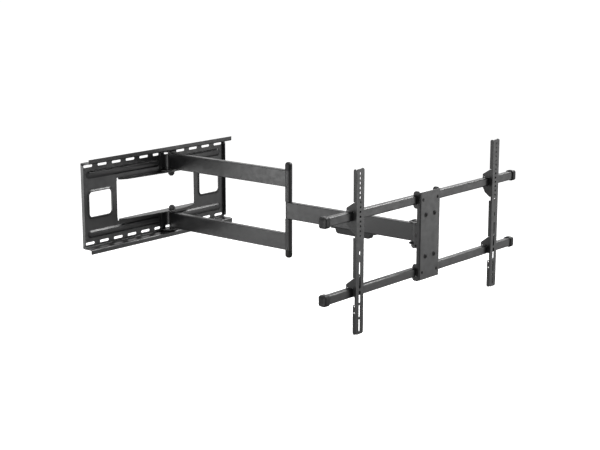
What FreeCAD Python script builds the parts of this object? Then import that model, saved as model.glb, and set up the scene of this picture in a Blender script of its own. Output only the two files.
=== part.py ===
import FreeCAD, Part
import os
from math import cos, hypot, radians, sin, sqrt
from FreeCAD import Vector

# Full motion television wall mount, in millimetres.
# Origin: centre of the wall plate's back face, on the wall. +X right along the wall, +Y into the wall, +Z up.
# The mount stands straight out from the wall along -Y, the television frame square to the wall.

# ---- Wall plate (stamped sheet) ----
PLATE_LENGTH = 645.0
PLATE_HALF_HEIGHT = 137.5
PLATE_SHEET = 2.5
PLATE_DEPTH = 41.0
PLATE_LIP = 12.5
PLATE_BEND = 2.0
SIDE_FLANGE_DEPTH = 12.0
SLOT_ROW_Z = 123.5
SLOT_PITCH = 60.0
SLOT_FIRST_X = 54.0
SLOTS_PER_SIDE = 5
SLOT_LENGTH = 39.0
SLOT_SHORT_LENGTH = 27.0
SLOT_WIDTH = 8.5
WINDOW_HALF_LENGTH = 175.5
WINDOW_HALF_HEIGHT = 64.0
SIDE_WINDOW_X = (199.5, 294.5)
SIDE_WINDOW_HALF_HEIGHT = 40.0
SIDE_WINDOW_CORNER = 12.0
RIM_HEIGHT = 3.0
RIB_Z = 95.0
RIB_WIDTH = 14.0
RIB_HEIGHT = 4.0
RIB_END_X = 298.0

# ---- Arms ----
ARM_X = 48.0
SHOULDER_Y = -24.0
LOWER_ARM_LENGTH = 510.0
UPPER_ARM_LENGTH = 475.0
ELBOW_Y = SHOULDER_Y - LOWER_ARM_LENGTH
HEAD_Y = ELBOW_Y - UPPER_ARM_LENGTH
ARM_THICKNESS = 20.0
ARM_HEIGHT = 52.0
ARM_WALL = 2.0
ARM_CORNER = 2.5
ARM_LEVEL = 99.5
SLEEVE_RADIUS = 10.0
SLEEVE_BORE = 8.0

# ---- Pivot hardware ----
PIVOT_SHANK_RADIUS = 6.0
PIVOT_CLEARANCE = 0.05
BUSH_FLANGE_RADIUS = 10.0
BUSH_FLANGE = 2.0
WASHER = 1.4
EAR_GAP = 3.5
EAR_THICKNESS = 3.5
EAR_RADIUS = 13.0
NUT_FLATS = 18.0
NUT_HEIGHT = 8.0
NUT_DOME_RADIUS = 7.6
NUT_DOME = 3.0
NUT_WASHER_RADIUS = 12.0
NUT_WASHER = 2.4
BOLT_HEAD_RADIUS = 11.0
BOLT_HEAD = 2.7
SHOULDER_WEB = 3.0
SHOULDER_WEB_HALF = 32.0

# ---- Elbow post ----
POST_RADIUS = 11.25
POST_HALF_HEIGHT = 150.5
POST_PIN_RADIUS = 5.0
POST_NUT_FLATS = 16.0
POST_NUT_HEIGHT = 8.0
POST_CAP_BORE = 9.7
POST_CAP_ROUND = 9.0
POST_BUSH_RADIUS = 7.0

# ---- Cable cover under the upper arm ----
COVER_START_Y = -725.0
COVER_END_Y = -856.0
COVER_TAB = 18.0
COVER_DROP = 17.0
COVER_WALL = 1.8
COVER_GAP = 7.0

# ---- Head: swivel yoke, tilt channel ----
YOKE_WEB_Y = -1031.0
YOKE_HALF_WIDTH = 31.3
YOKE_SHEET = 3.0
TILT_Y = -1042.0
TILT_PIN_RADIUS = 4.0
TILT_HALF_HEIGHT = 75.0
TILT_HALF_WIDTH = 26.5
TILT_SHEET = 3.0
FRICTION_WASHER = 1.6

# ---- Television frame ----
TV_PLANE_Y = -1063.0
CENTRE_FACE_Y = TV_PLANE_Y + 1.0
CENTRE_HALF_WIDTH = 48.7
CENTRE_HALF_HEIGHT = 127.0
CENTRE_SHEET = 2.5
CENTRE_LOBE_BACK_Y = -1037.0
RAIL_LEVEL = 105.0
RAIL_HEIGHT = 25.0
RAIL_DEPTH = 20.0
RAIL_WALL = 1.8
RAIL_CORNER = 4.0
RAIL_FRONT_Y = -1050.0
RAIL_BACK_Y = RAIL_FRONT_Y + RAIL_DEPTH
RAIL_X = ARM_X + 6.0
RAIL_HALF_LENGTH = 461.0
END_CAP = 4.0
END_CAP_SLEEVE = 14.0
END_CAP_WALL = 3.0
END_CAP_PLUG = 20.0
LEVEL_BOLT_X = 21.0
LEVEL_BOLT_Z = 60.0
LEVEL_BOLT_RADIUS = 3.0
LEVEL_ANGLE = 3.0
CORNER_SCREW_X = 35.0

# ---- Television brackets ----
BRACKET_X = {"left": ARM_X - 326.0, "right": ARM_X + 338.0}
BRACKET_LENGTH = 453.0
BRACKET_MID_Z = 6.5
BRACKET_HALF_WIDTH = 16.5
BRACKET_DEPTH = 11.3
BRACKET_SHEET = 2.0
BRACKET_HOLE_RADIUS = 3.6
BRACKET_HOLE_PITCH = 13.0
BRACKET_HOLES = 14
BRACKET_FIRST_HOLE = 12.3
BRACKET_SLOT_LENGTH = 34.5
BRACKET_SLOT_PITCH = 39.5
BRACKET_SLOT_Z = -37.0
BRACKET_SLOTS = 5
RAIL_PLAY = 0.4

OUT = "parts"
os.makedirs(OUT, exist_ok=True)


# ---------------------------------------------------------------- shapes
def on_xy(u, v, w):
    return Vector(u, v, w)


def on_xz(u, v, w):
    return Vector(u, w, v)


def on_yz(u, v, w):
    return Vector(w, u, v)


def box(x, y, z):
    """Box from three (low, high) pairs."""
    size = [high - low for low, high in (x, y, z)]
    return Part.makeBox(size[0], size[1], size[2], Vector(x[0], y[0], z[0]))


def rod(centre, axis, radius, length):
    """Cylinder of a length from its centre point along an axis."""
    return Part.makeCylinder(radius, length, Vector(*centre), Vector(*axis))


def pipe(centre, axis, radius, bore, length):
    return rod(centre, axis, radius, length).cut(rod(centre, axis, bore, length))


def corner_cut(before, corner, after):
    """Start, middle and end of the arc that rounds one corner, or the bare corner."""
    u, v, radius = corner
    if radius <= 0:
        return [(u, v)]
    one = (before[0] - u, before[1] - v)
    two = (after[0] - u, after[1] - v)
    one = (one[0] / hypot(*one), one[1] / hypot(*one))
    two = (two[0] / hypot(*two), two[1] / hypot(*two))
    dot = one[0] * two[0] + one[1] * two[1]
    half_sine = sqrt((1 - dot) / 2)
    half_cosine = sqrt((1 + dot) / 2)
    run = radius * half_cosine / half_sine
    middle = (one[0] + two[0], one[1] + two[1])
    reach = (radius / half_sine - radius) / hypot(*middle)
    return [
        (u + one[0] * run, v + one[1] * run),
        (u + middle[0] * reach, v + middle[1] * reach),
        (u + two[0] * run, v + two[1] * run),
    ]


def wire(corners, place, level):
    """Closed wire through (u, v, radius) corners on a plane."""
    count = len(corners)
    marks = [corner_cut(corners[i - 1], corners[i], corners[(i + 1) % count]) for i in range(count)]
    edges = []
    for i, mark in enumerate(marks):
        points = [place(u, v, level) for u, v in mark]
        if len(points) == 3:
            edges.append(Part.Arc(points[0], points[1], points[2]).toShape())
        start = points[-1]
        end = place(*marks[(i + 1) % count][0], level)
        if start.distanceToPoint(end) > 1e-5:
            edges.append(Part.makeLine(start, end))
    return Part.Wire(edges)


def slab(corners, place, low, high):
    """Prism of a rounded outline between two levels of its plane's normal."""
    face = Part.Face(wire(corners, place, low))
    return face.extrude(place(0, 0, high) - place(0, 0, low))


def rect(u, v, radius=0.0):
    return [(u[0], v[0], radius), (u[1], v[0], radius), (u[1], v[1], radius), (u[0], v[1], radius)]


def slot(centre_u, centre_v, length, width, along_u=True):
    """Outline of a round-ended slot."""
    half = (length / 2, width / 2) if along_u else (width / 2, length / 2)
    u = (centre_u - half[0], centre_u + half[0])
    v = (centre_v - half[1], centre_v + half[1])
    return rect(u, v, min(half))


def strip(path, sheet, bend):
    """Outline of a bent sheet: the path is one face, and the sheet lies on its left."""
    count = len(path)
    steps = [(path[i + 1][0] - path[i][0], path[i + 1][1] - path[i][1]) for i in range(count - 1)]
    steps = [(du / hypot(du, dv), dv / hypot(du, dv)) for du, dv in steps]
    near = []
    far = []
    for i, (u, v) in enumerate(path):
        before = steps[max(i - 1, 0)]
        after = steps[min(i, count - 2)]
        turn = before[0] * after[1] - before[1] * after[0]
        left = (-before[1] - after[1], before[0] + after[0])
        scale = sheet / (1 + before[0] * after[0] + before[1] * after[1])
        inside, outside = bend, bend + sheet
        if i in (0, count - 1):
            inside = outside = 0.0
        near.append((u, v, outside if turn > 0 else inside))
        far.append((u + left[0] * scale, v + left[1] * scale, inside if turn > 0 else outside))
    return near + far[::-1]


def hexagon(centre, flats, height, axis_up=True):
    """Hexagonal prism along Z from its centre point, up or down."""
    x, y, z = centre
    radius = flats / sqrt(3)
    corners = [(x + radius * cos(radians(60 * i)), y + radius * sin(radians(60 * i)), 0) for i in range(6)]
    return slab(corners, on_xy, z, z + height if axis_up else z - height)


def fuse(shapes):
    whole = shapes[0]
    for shape in shapes[1:]:
        whole = whole.fuse(shape)
    return whole.removeSplitter()


def cut(shape, tools):
    for tool in tools:
        shape = shape.cut(tool)
    return shape


def flip_z(shape):
    return shape.mirror(Vector(0, 0, 0), Vector(0, 0, 1))


def both_ends(shape):
    """A shape and its mirror image below the mount's middle plane."""
    return [shape, flip_z(shape)]


def save(node, shapes):
    solids = [solid for shape in shapes for solid in shape.Solids]
    for solid in solids:
        if not solid.isValid():
            raise ValueError(node + " has an invalid solid")
    whole = solids[0] if len(solids) == 1 else Part.makeCompound(solids)
    whole.exportStep(os.path.join(OUT, node + ".step"))
    volume = sum(solid.Volume for solid in solids)
    print(f"{node}: {len(solids)} solid(s), {volume / 1000:.1f} cm3")


# ---------------------------------------------------------------- wall plate
def plate_slots():
    """Centre X and length of each slot in a row."""
    places = [(0.0, SLOT_SHORT_LENGTH)]
    for k in range(SLOTS_PER_SIDE):
        x = SLOT_FIRST_X + SLOT_PITCH * k
        places += [(-x, SLOT_LENGTH), (x, SLOT_LENGTH)]
    return places


def wall_plate():
    half = PLATE_LENGTH / 2
    top = PLATE_HALF_HEIGHT
    front = -PLATE_DEPTH
    lip = top + PLATE_LIP
    inner = top - PLATE_SHEET
    path = [
        (front, -lip), (front, -inner), (-PLATE_SHEET, -inner),
        (-PLATE_SHEET, inner), (front, inner), (front, lip),
    ]
    pieces = [slab(strip(path[::-1], PLATE_SHEET, PLATE_BEND), on_yz, -half, half)]
    # short side flanges, held clear of the corners
    for side in (-1, 1):
        x = sorted((side * half, side * (half - PLATE_SHEET)))
        end = top - 8
        flange = [(-SIDE_FLANGE_DEPTH, -end, 5), (0, -end, 0), (0, end, 0), (-SIDE_FLANGE_DEPTH, end, 5)]
        pieces.append(slab(flange, on_yz, *x))
    # raised rims round the two side windows
    for side in (-1, 1):
        x = sorted(side * v for v in SIDE_WINDOW_X)
        z = (-SIDE_WINDOW_HALF_HEIGHT, SIDE_WINDOW_HALF_HEIGHT)
        wide = rect((x[0] - 3, x[1] + 3), (z[0] - 3, z[1] + 3), SIDE_WINDOW_CORNER + 3)
        pieces.append(slab(wide, on_xz, -PLATE_SHEET - RIM_HEIGHT, 0))
    # pressed ribs, hollow from behind, that stop either side of the shoulder brackets
    hollows = []
    for level in (-RIB_Z, RIB_Z):
        for low, high in rib_spans():
            z = (level - RIB_WIDTH / 2, level + RIB_WIDTH / 2)
            pieces.append(slab(rect((low, high), z, RIB_WIDTH / 2), on_xz, -PLATE_SHEET - RIB_HEIGHT, 0))
            thin = PLATE_SHEET * 0.8
            inside = rect((low + thin, high - thin), (z[0] + thin, z[1] - thin), RIB_WIDTH / 2 - thin)
            hollows.append(slab(inside, on_xz, -RIB_HEIGHT, 0))
    plate = fuse(pieces)
    openings = hollows
    window = rect((-WINDOW_HALF_LENGTH, WINDOW_HALF_LENGTH), (-WINDOW_HALF_HEIGHT, WINDOW_HALF_HEIGHT), 6.0)
    openings.append(slab(window, on_xz, -20, 5))
    for side in (-1, 1):
        x = sorted(side * v for v in SIDE_WINDOW_X)
        z = (-SIDE_WINDOW_HALF_HEIGHT, SIDE_WINDOW_HALF_HEIGHT)
        openings.append(slab(rect(x, z, SIDE_WINDOW_CORNER), on_xz, -20, 5))
        # relief notches at the window's corners, where the wings are bent
        for end in (-1, 1):
            x = sorted((side * (WINDOW_HALF_LENGTH - 1), side * (WINDOW_HALF_LENGTH - 7)))
            z = sorted((end * (WINDOW_HALF_HEIGHT - 8), end * (WINDOW_HALF_HEIGHT + 6)))
            openings.append(slab(rect(x, z, 1.5), on_xz, -20, 5))
    for level in (-SLOT_ROW_Z, SLOT_ROW_Z):
        for x, length in plate_slots():
            openings.append(slab(slot(x, level, length, SLOT_WIDTH), on_xz, -20, 5))
    plate = cut(plate, openings)
    return fuse([plate] + both_ends(window_wing()))


def rib_spans():
    gap = SHOULDER_WEB_HALF + 8
    return [(-RIB_END_X, ARM_X - gap), (ARM_X + gap, RIB_END_X)]


def window_wing():
    """Forward flange of the window's upper edge, deepest under the shoulder bracket."""
    end = WINDOW_HALF_LENGTH - 7
    deep = -(PLATE_DEPTH - 4)
    corners = [
        (-end, 0, 0), (-end, -10, 6), (-end + 22, -22, 20), (ARM_X - 60, deep + 3, 60), (ARM_X - 30, deep, 20),
        (ARM_X + 30, deep, 20), (ARM_X + 60, deep + 4, 60), (end - 22, -22, 20), (end, -10, 6), (end, 0, 0),
    ]
    low = WINDOW_HALF_HEIGHT
    wing = slab(corners, on_xy, low, low + PLATE_SHEET)
    hole = rod((ARM_X, SHOULDER_Y, low - 1), (0, 0, 1), PIVOT_SHANK_RADIUS + 0.3, PLATE_SHEET + 2)
    return wing.cut(hole)


# ---------------------------------------------------------------- shoulder hinge
UPPER_EAR = ARM_LEVEL + ARM_HEIGHT / 2 + EAR_GAP
LOWER_EAR = ARM_LEVEL - ARM_HEIGHT / 2 - EAR_GAP


def shoulder_bracket():
    """Upper U bracket: a web flat on the plate, and an ear above and below the arm."""
    back = -PLATE_SHEET
    web_front = back - SHOULDER_WEB
    x = (ARM_X - SHOULDER_WEB_HALF, ARM_X + SHOULDER_WEB_HALF)
    wing_top = WINDOW_HALF_HEIGHT + PLATE_SHEET
    ear_top = UPPER_EAR + EAR_THICKNESS - 0.5
    web = slab(rect(x, (wing_top, ear_top), 0), on_xz, web_front, back)
    ear = [
        (x[0], back, 0), (x[0], back - 10, 4), (ARM_X - EAR_RADIUS, SHOULDER_Y - EAR_RADIUS, EAR_RADIUS - 0.5),
        (ARM_X + EAR_RADIUS, SHOULDER_Y - EAR_RADIUS, EAR_RADIUS - 0.5), (x[1], back - 10, 4), (x[1], back, 0),
    ]
    ears = [slab(ear, on_xy, wing_top, LOWER_EAR), slab(ear, on_xy, UPPER_EAR, ear_top)]
    holes = [rod((ARM_X, SHOULDER_Y, 0), (0, 0, 1), PIVOT_SHANK_RADIUS + 0.3, 200)]
    for at, length in plate_slots():
        if abs(at - ARM_X) < SHOULDER_WEB_HALF:
            holes.append(slab(slot(at, SLOT_ROW_Z, length, SLOT_WIDTH), on_xz, -20, 5))
    return cut(fuse([web] + ears), holes)


def dome_head(centre, radius, height, up=1):
    """Low domed bolt head standing on its centre point."""
    ball = (radius * radius + height * height) / (2 * height)
    x, y, z = centre
    sphere = Part.makeSphere(ball, Vector(x, y, z + up * (height - ball)))
    low, high = sorted((z, z + up * height))
    return sphere.common(box((x - radius, x + radius), (y - radius, y + radius), (low, high)))


def lock_nut(centre, flats, height, bore, down=True):
    """Hexagonal lock nut with its round collar, threaded on a shank of the bore's radius."""
    x, y, z = centre
    sign = -1 if down else 1
    body = hexagon(centre, flats, height, not down)
    rounding = Part.makeCone(flats / 2 + 2.4, flats / 2 - 0.2, height, Vector(x, y, z), Vector(0, 0, sign))
    body = body.common(rounding)
    collar = rod((x, y, z + sign * height), (0, 0, sign), flats / 2 - 1.6, NUT_DOME)
    nut = body.fuse(collar)
    return nut.cut(rod((x, y, z), (0, 0, sign), bore, height + NUT_DOME)).removeSplitter()


def shoulder_bolt():
    """Upper pivot bolt, its low head over the top ear and its thread below the wing."""
    head_level = UPPER_EAR + EAR_THICKNESS - 0.5
    end = WINDOW_HALF_HEIGHT - NUT_WASHER - NUT_HEIGHT - NUT_DOME - 1
    shank = rod((ARM_X, SHOULDER_Y, end), (0, 0, 1), PIVOT_SHANK_RADIUS, head_level - end)
    return fuse([shank, dome_head((ARM_X, SHOULDER_Y, head_level), BOLT_HEAD_RADIUS, BOLT_HEAD)])


def shoulder_nut():
    level = WINDOW_HALF_HEIGHT - NUT_WASHER
    return lock_nut((ARM_X, SHOULDER_Y, level), NUT_FLATS, NUT_HEIGHT, PIVOT_SHANK_RADIUS)


def shoulder_washers():
    """Plain washer under the nut, and a thrust washer at each ear, for the upper hinge."""
    bore = PIVOT_SHANK_RADIUS + PIVOT_CLEARANCE * 2
    at = (ARM_X, SHOULDER_Y)
    return [
        pipe((*at, WINDOW_HALF_HEIGHT - NUT_WASHER), (0, 0, 1), NUT_WASHER_RADIUS, bore, NUT_WASHER),
        pipe((*at, LOWER_EAR), (0, 0, 1), BUSH_FLANGE_RADIUS, bore, WASHER),
        pipe((*at, UPPER_EAR - WASHER), (0, 0, 1), BUSH_FLANGE_RADIUS, bore, WASHER),
    ]


def bush(x, y, face, up, radius, bore, length, flange_radius, flange):
    """Flanged bush: its flange stands on the face, its barrel goes into the arm."""
    barrel = rod((x, y, face), (0, 0, -up), radius, length)
    rim = rod((x, y, face), (0, 0, up), flange_radius, flange)
    whole = barrel.fuse(rim).removeSplitter()
    return whole.cut(rod((x, y, face - up * length), (0, 0, up), bore, length + flange))


def arm_bushes(y, level, bore, radius=SLEEVE_BORE, flange=BUSH_FLANGE):
    """Pair of bushes in one arm end."""
    half = ARM_HEIGHT / 2
    return [
        bush(ARM_X, y, level + side * half, side, radius, bore, 16, BUSH_FLANGE_RADIUS - 0.4, flange)
        for side in (-1, 1)
    ]


# ---------------------------------------------------------------- arms
def arm_tube(start_y, end_y, level):
    """Flat rectangular tube along Y."""
    x = (ARM_X - ARM_THICKNESS / 2, ARM_X + ARM_THICKNESS / 2)
    z = (level - ARM_HEIGHT / 2, level + ARM_HEIGHT / 2)
    outer = slab(rect(x, z, ARM_CORNER), on_xz, end_y, start_y)
    x = (x[0] + ARM_WALL, x[1] - ARM_WALL)
    z = (z[0] + ARM_WALL, z[1] - ARM_WALL)
    return outer.cut(slab(rect(x, z, ARM_CORNER - ARM_WALL), on_xz, end_y, start_y))


def sleeve(y, level, radius=SLEEVE_RADIUS, bore=SLEEVE_BORE):
    """Vertical bearing sleeve welded in an arm end."""
    return pipe((ARM_X, y, level - ARM_HEIGHT / 2), (0, 0, 1), radius, bore, ARM_HEIGHT)


def end_cutter(y, radius):
    return rod((ARM_X, y, -200), (0, 0, 1), radius, 400)


def lower_arm_tube():
    tube = arm_tube(SHOULDER_Y, ELBOW_Y + 4, ARM_LEVEL)
    return cut(tube, [end_cutter(SHOULDER_Y, SLEEVE_RADIUS), end_cutter(ELBOW_Y, POST_RADIUS)])


def upper_arm_tube():
    tube = arm_tube(ELBOW_Y - 2, HEAD_Y + 1, 0)
    tab_screws = [rod((ARM_X, y, -ARM_HEIGHT / 2 - 1), (0, 0, 1), 1.7, ARM_WALL + 2) for y in cover_screw_places()]
    return cut(tube, [end_cutter(ELBOW_Y, SLEEVE_RADIUS), end_cutter(HEAD_Y, SLEEVE_RADIUS)] + tab_screws)


def elbow_cap():
    """Domed cap over the upper end of the elbow pin and its nut."""
    base = ARM_LEVEL + ARM_HEIGHT / 2
    height = POST_HALF_HEIGHT - base
    profile = [(0, base, 0), (POST_RADIUS, base, 0), (POST_RADIUS, base + height, POST_CAP_ROUND), (0, base + height, 0)]
    solid = revolved(profile, ARM_X, ELBOW_Y)
    return solid.cut(rod((ARM_X, ELBOW_Y, base), (0, 0, 1), POST_CAP_BORE, height - 9))


def revolved(corners, x, y):
    """Solid of revolution about a vertical axis, from an outline of (radius, z, rounding) corners."""
    face = Part.Face(wire(corners, lambda u, v, w: Vector(x + u, y, v), 0))
    return face.revolve(Vector(x, y, 0), Vector(0, 0, 1), 360)


def elbow_pin():
    top = ARM_LEVEL + ARM_HEIGHT / 2
    return rod((ARM_X, ELBOW_Y, -top - 12), (0, 0, 1), POST_PIN_RADIUS, 2 * top + 24)


def elbow_nut():
    level = ARM_LEVEL + ARM_HEIGHT / 2 + 1.6
    return hexagon((ARM_X, ELBOW_Y, level), POST_NUT_FLATS, POST_NUT_HEIGHT).cut(
        rod((ARM_X, ELBOW_Y, level), (0, 0, 1), POST_PIN_RADIUS, POST_NUT_HEIGHT))


def elbow_nut_washer():
    level = ARM_LEVEL + ARM_HEIGHT / 2
    return pipe((ARM_X, ELBOW_Y, level), (0, 0, 1), 9.4, POST_PIN_RADIUS, 1.6)


def elbow_spacer():
    """Tube that fills the post between the upper arm and one lower arm tube."""
    base = ARM_HEIGHT / 2 + 1.5
    return pipe((ARM_X, ELBOW_Y, base), (0, 0, 1), POST_RADIUS, POST_PIN_RADIUS, ARM_LEVEL - ARM_HEIGHT / 2 - base)


# ---------------------------------------------------------------- cable cover
def cover_screw_places():
    return [COVER_START_Y + COVER_TAB / 2 - 1, COVER_END_Y - COVER_TAB / 2 + 1]


def cable_cover():
    """Trough for cables under the upper arm, with a flat fixing tab at each end."""
    top = -ARM_HEIGHT / 2
    low = top - COVER_DROP
    half = ARM_THICKNESS / 2 - 0.5
    tab = 3.0
    outline = [
        (COVER_START_Y + COVER_TAB, top, 0), (COVER_START_Y + COVER_TAB, top - tab, 1), (COVER_START_Y, top - tab, 1),
        (COVER_START_Y - 3, low + 4, 2), (COVER_START_Y - 8, low, 2), (COVER_END_Y + 5, low, 3),
        (COVER_END_Y + 2, top - 9, 1.5), (COVER_END_Y, top - tab, 1), (COVER_END_Y - COVER_TAB, top - tab, 1),
        (COVER_END_Y - COVER_TAB, top, 0),
    ]
    body = slab(outline, on_yz, ARM_X - half, ARM_X + half)
    hollow = [
        (COVER_START_Y - 2, top + 1, 0), (COVER_START_Y - 5, low + 5, 1), (COVER_START_Y - 9, low + 2, 1),
        (COVER_END_Y + 6.5, low + 2, 2), (COVER_END_Y + 4, top + 1, 0),
    ]
    body = body.cut(slab(hollow, on_yz, ARM_X - half + COVER_WALL, ARM_X + half - COVER_WALL))
    # finger gap along the side that faces away, where a cable is pushed in
    ends = (COVER_END_Y + 20, COVER_START_Y - 30)
    gap = [(ends[0], top + 1, 0), (ends[0], top - COVER_GAP, 2), (ends[1], top - COVER_GAP, 2), (ends[1], top + 1, 0)]
    body = body.cut(slab(gap, on_yz, ARM_X + half - 3, ARM_X + half + 1))
    holes = [rod((ARM_X, y, top - 5), (0, 0, 1), 1.7, 10) for y in cover_screw_places()]
    return cut(body, holes)


def cover_screws():
    """Small pan head screw through each tab into the arm."""
    screws = []
    for y in cover_screw_places():
        seat = -ARM_HEIGHT / 2 - 3.0
        shank = rod((ARM_X, y, seat), (0, 0, 1), 1.7, 3.0 + ARM_WALL + 2)
        head = dome_head((ARM_X, y, seat), 3.4, 2.0, -1)
        screws.append(fuse([shank, head]))
    return screws


# ---------------------------------------------------------------- head
HEAD_EAR = ARM_HEIGHT / 2 + EAR_GAP


def head_yoke():
    """Bracket that turns on the arm's end: ears above and below the arm, cheeks forward for the tilt bolt."""
    front, back = YOKE_WEB_Y, YOKE_WEB_Y + YOKE_SHEET
    x = (ARM_X - YOKE_HALF_WIDTH, ARM_X + YOKE_HALF_WIDTH)
    z = (-HEAD_EAR - EAR_THICKNESS, HEAD_EAR + EAR_THICKNESS)
    web = box(x, (front, back), z)
    ear = [
        (x[0], back, 0), (x[1], back, 0), (ARM_X + EAR_RADIUS, HEAD_Y + EAR_RADIUS, EAR_RADIUS - 0.5),
        (ARM_X - EAR_RADIUS, HEAD_Y + EAR_RADIUS, EAR_RADIUS - 0.5),
    ]
    pieces = [web]
    for side in (-1, 1):
        pieces.append(slab(ear, on_xy, side * HEAD_EAR, side * (HEAD_EAR + EAR_THICKNESS)))
        cheek = [
            (back, z[0] + 3, 0), (back, z[1] - 3, 0), (front - 3, z[1] - 3, 2),
            (TILT_Y - 11, 11, 10.5), (TILT_Y - 11, -11, 10.5), (front - 3, z[0] + 3, 2),
        ]
        inner = ARM_X + side * (YOKE_HALF_WIDTH - YOKE_SHEET)
        pieces.append(slab(cheek, on_yz, *sorted((inner, ARM_X + side * YOKE_HALF_WIDTH))))
    yoke = fuse(pieces)
    pivot = rod((ARM_X, HEAD_Y, -60), (0, 0, 1), PIVOT_SHANK_RADIUS + 0.05, 120)
    tilt = rod((ARM_X - 60, TILT_Y, 0), (1, 0, 0), TILT_PIN_RADIUS + 0.05, 120)
    return cut(yoke, [pivot, tilt])


def head_bolt():
    top = HEAD_EAR + EAR_THICKNESS
    end = -top - NUT_WASHER - NUT_HEIGHT - NUT_DOME - 1
    shank = rod((ARM_X, HEAD_Y, end), (0, 0, 1), PIVOT_SHANK_RADIUS, top - end)
    return fuse([shank, dome_head((ARM_X, HEAD_Y, top), BOLT_HEAD_RADIUS, 4.0)])


def head_nut():
    level = -HEAD_EAR - EAR_THICKNESS - NUT_WASHER
    return lock_nut((ARM_X, HEAD_Y, level), NUT_FLATS, NUT_HEIGHT, PIVOT_SHANK_RADIUS)


def head_washers():
    bore = PIVOT_SHANK_RADIUS + PIVOT_CLEARANCE * 2
    at = (ARM_X, HEAD_Y)
    return [
        pipe((*at, -HEAD_EAR - EAR_THICKNESS - NUT_WASHER), (0, 0, 1), NUT_WASHER_RADIUS, bore, NUT_WASHER),
        pipe((*at, -HEAD_EAR), (0, 0, 1), BUSH_FLANGE_RADIUS, bore, WASHER),
        pipe((*at, HEAD_EAR - WASHER), (0, 0, 1), BUSH_FLANGE_RADIUS, bore, WASHER),
    ]


def tilt_channel():
    """Channel behind the centre plate: its cheeks hang on the tilt bolt between the yoke's."""
    front = CENTRE_FACE_Y + CENTRE_SHEET
    back = front + TILT_SHEET
    x = (ARM_X - TILT_HALF_WIDTH, ARM_X + TILT_HALF_WIDTH)
    pieces = [slab(rect(x, (-TILT_HALF_HEIGHT, TILT_HALF_HEIGHT), 6), on_xz, front, back)]
    cheek = [
        (front + 1, -36, 0), (back + 3, -36, 3), (TILT_Y + 8.5, -8, 7.8),
        (TILT_Y + 8.5, 8, 7.8), (back + 3, 36, 3), (front + 1, 36, 0),
    ]
    for side in (-1, 1):
        outer = ARM_X + side * TILT_HALF_WIDTH
        pieces.append(slab(cheek, on_yz, *sorted((outer, outer - side * TILT_SHEET))))
    holes = [rod((ARM_X - 60, TILT_Y, 0), (1, 0, 0), TILT_PIN_RADIUS + PIVOT_CLEARANCE, 120)]
    holes += [rod((x, front - 1, z), (0, 1, 0), LEVEL_BOLT_RADIUS, 6) for x, z in level_bolt_places()]
    return cut(fuse(pieces), holes)


def tilt_bolt():
    """Bolt across the cheeks, with its hexagonal head on the left."""
    end = YOKE_HALF_WIDTH + 1.6
    shank = rod((ARM_X - end, TILT_Y, 0), (1, 0, 0), TILT_PIN_RADIUS, 2 * end + 8)
    head = turned_to_x(hexagon((0, 0, 0), 13.0, 5.3), ARM_X - end - 5.3)
    return fuse([shank, head])


def turned_to_x(shape, x):
    """Lays a shape made along Z down along X, on the tilt axis."""
    shape.rotate(Vector(0, 0, 0), Vector(0, 1, 0), 90)
    shape.translate(Vector(x, TILT_Y, 0))
    return shape


def tilt_nut():
    start = ARM_X + YOKE_HALF_WIDTH + 1.6
    nut = turned_to_x(hexagon((0, 0, 0), 13.0, 6.5), start)
    return nut.cut(rod((start, TILT_Y, 0), (1, 0, 0), TILT_PIN_RADIUS, 6.5))


def tilt_washers():
    """Friction washer at each side of the channel, and a plain washer outside each cheek."""
    washers = []
    for side in (-1, 1):
        inner = ARM_X + side * (TILT_HALF_WIDTH + 0.1)
        start = min(inner, inner + side * FRICTION_WASHER)
        washers.append(pipe((start, TILT_Y, 0), (1, 0, 0), 9.0, TILT_PIN_RADIUS + 0.1, FRICTION_WASHER))
        outer = ARM_X + side * YOKE_HALF_WIDTH
        start = min(outer, outer + side * 1.6)
        washers.append(pipe((start, TILT_Y, 0), (1, 0, 0), 8.5, TILT_PIN_RADIUS + 0.1, 1.6))
    return washers


# ---------------------------------------------------------------- television frame
def level_bolt_places():
    return [(ARM_X + u, w) for u in (-LEVEL_BOLT_X, LEVEL_BOLT_X) for w in (-LEVEL_BOLT_Z, LEVEL_BOLT_Z)]


def level_slot(x, z):
    """Curved slot that lets the centre plate turn a few degrees about the mount's axis."""
    radius = hypot(x - ARM_X, z)
    half_width = LEVEL_BOLT_RADIUS + 0.3
    spread = radians(LEVEL_ANGLE * 1.05)
    start = CENTRE_FACE_Y - 5
    ends = []
    for angle in (spread, -spread):
        u = (x - ARM_X) * cos(angle) - z * sin(angle)
        w = (x - ARM_X) * sin(angle) + z * cos(angle)
        ends.append((u, w))
    ring = pipe((ARM_X, start, 0), (0, 1, 0), radius + half_width, radius - half_width, 12)
    wedge = [(ARM_X, 0, 0)] + [(ARM_X + 2 * u, 2 * w, 0) for u, w in ends]
    arc = ring.common(slab(wedge, on_xz, start, start + 12))
    return fuse([arc] + [rod((ARM_X + u, start, w), (0, 1, 0), half_width, 12) for u, w in ends])


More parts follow.
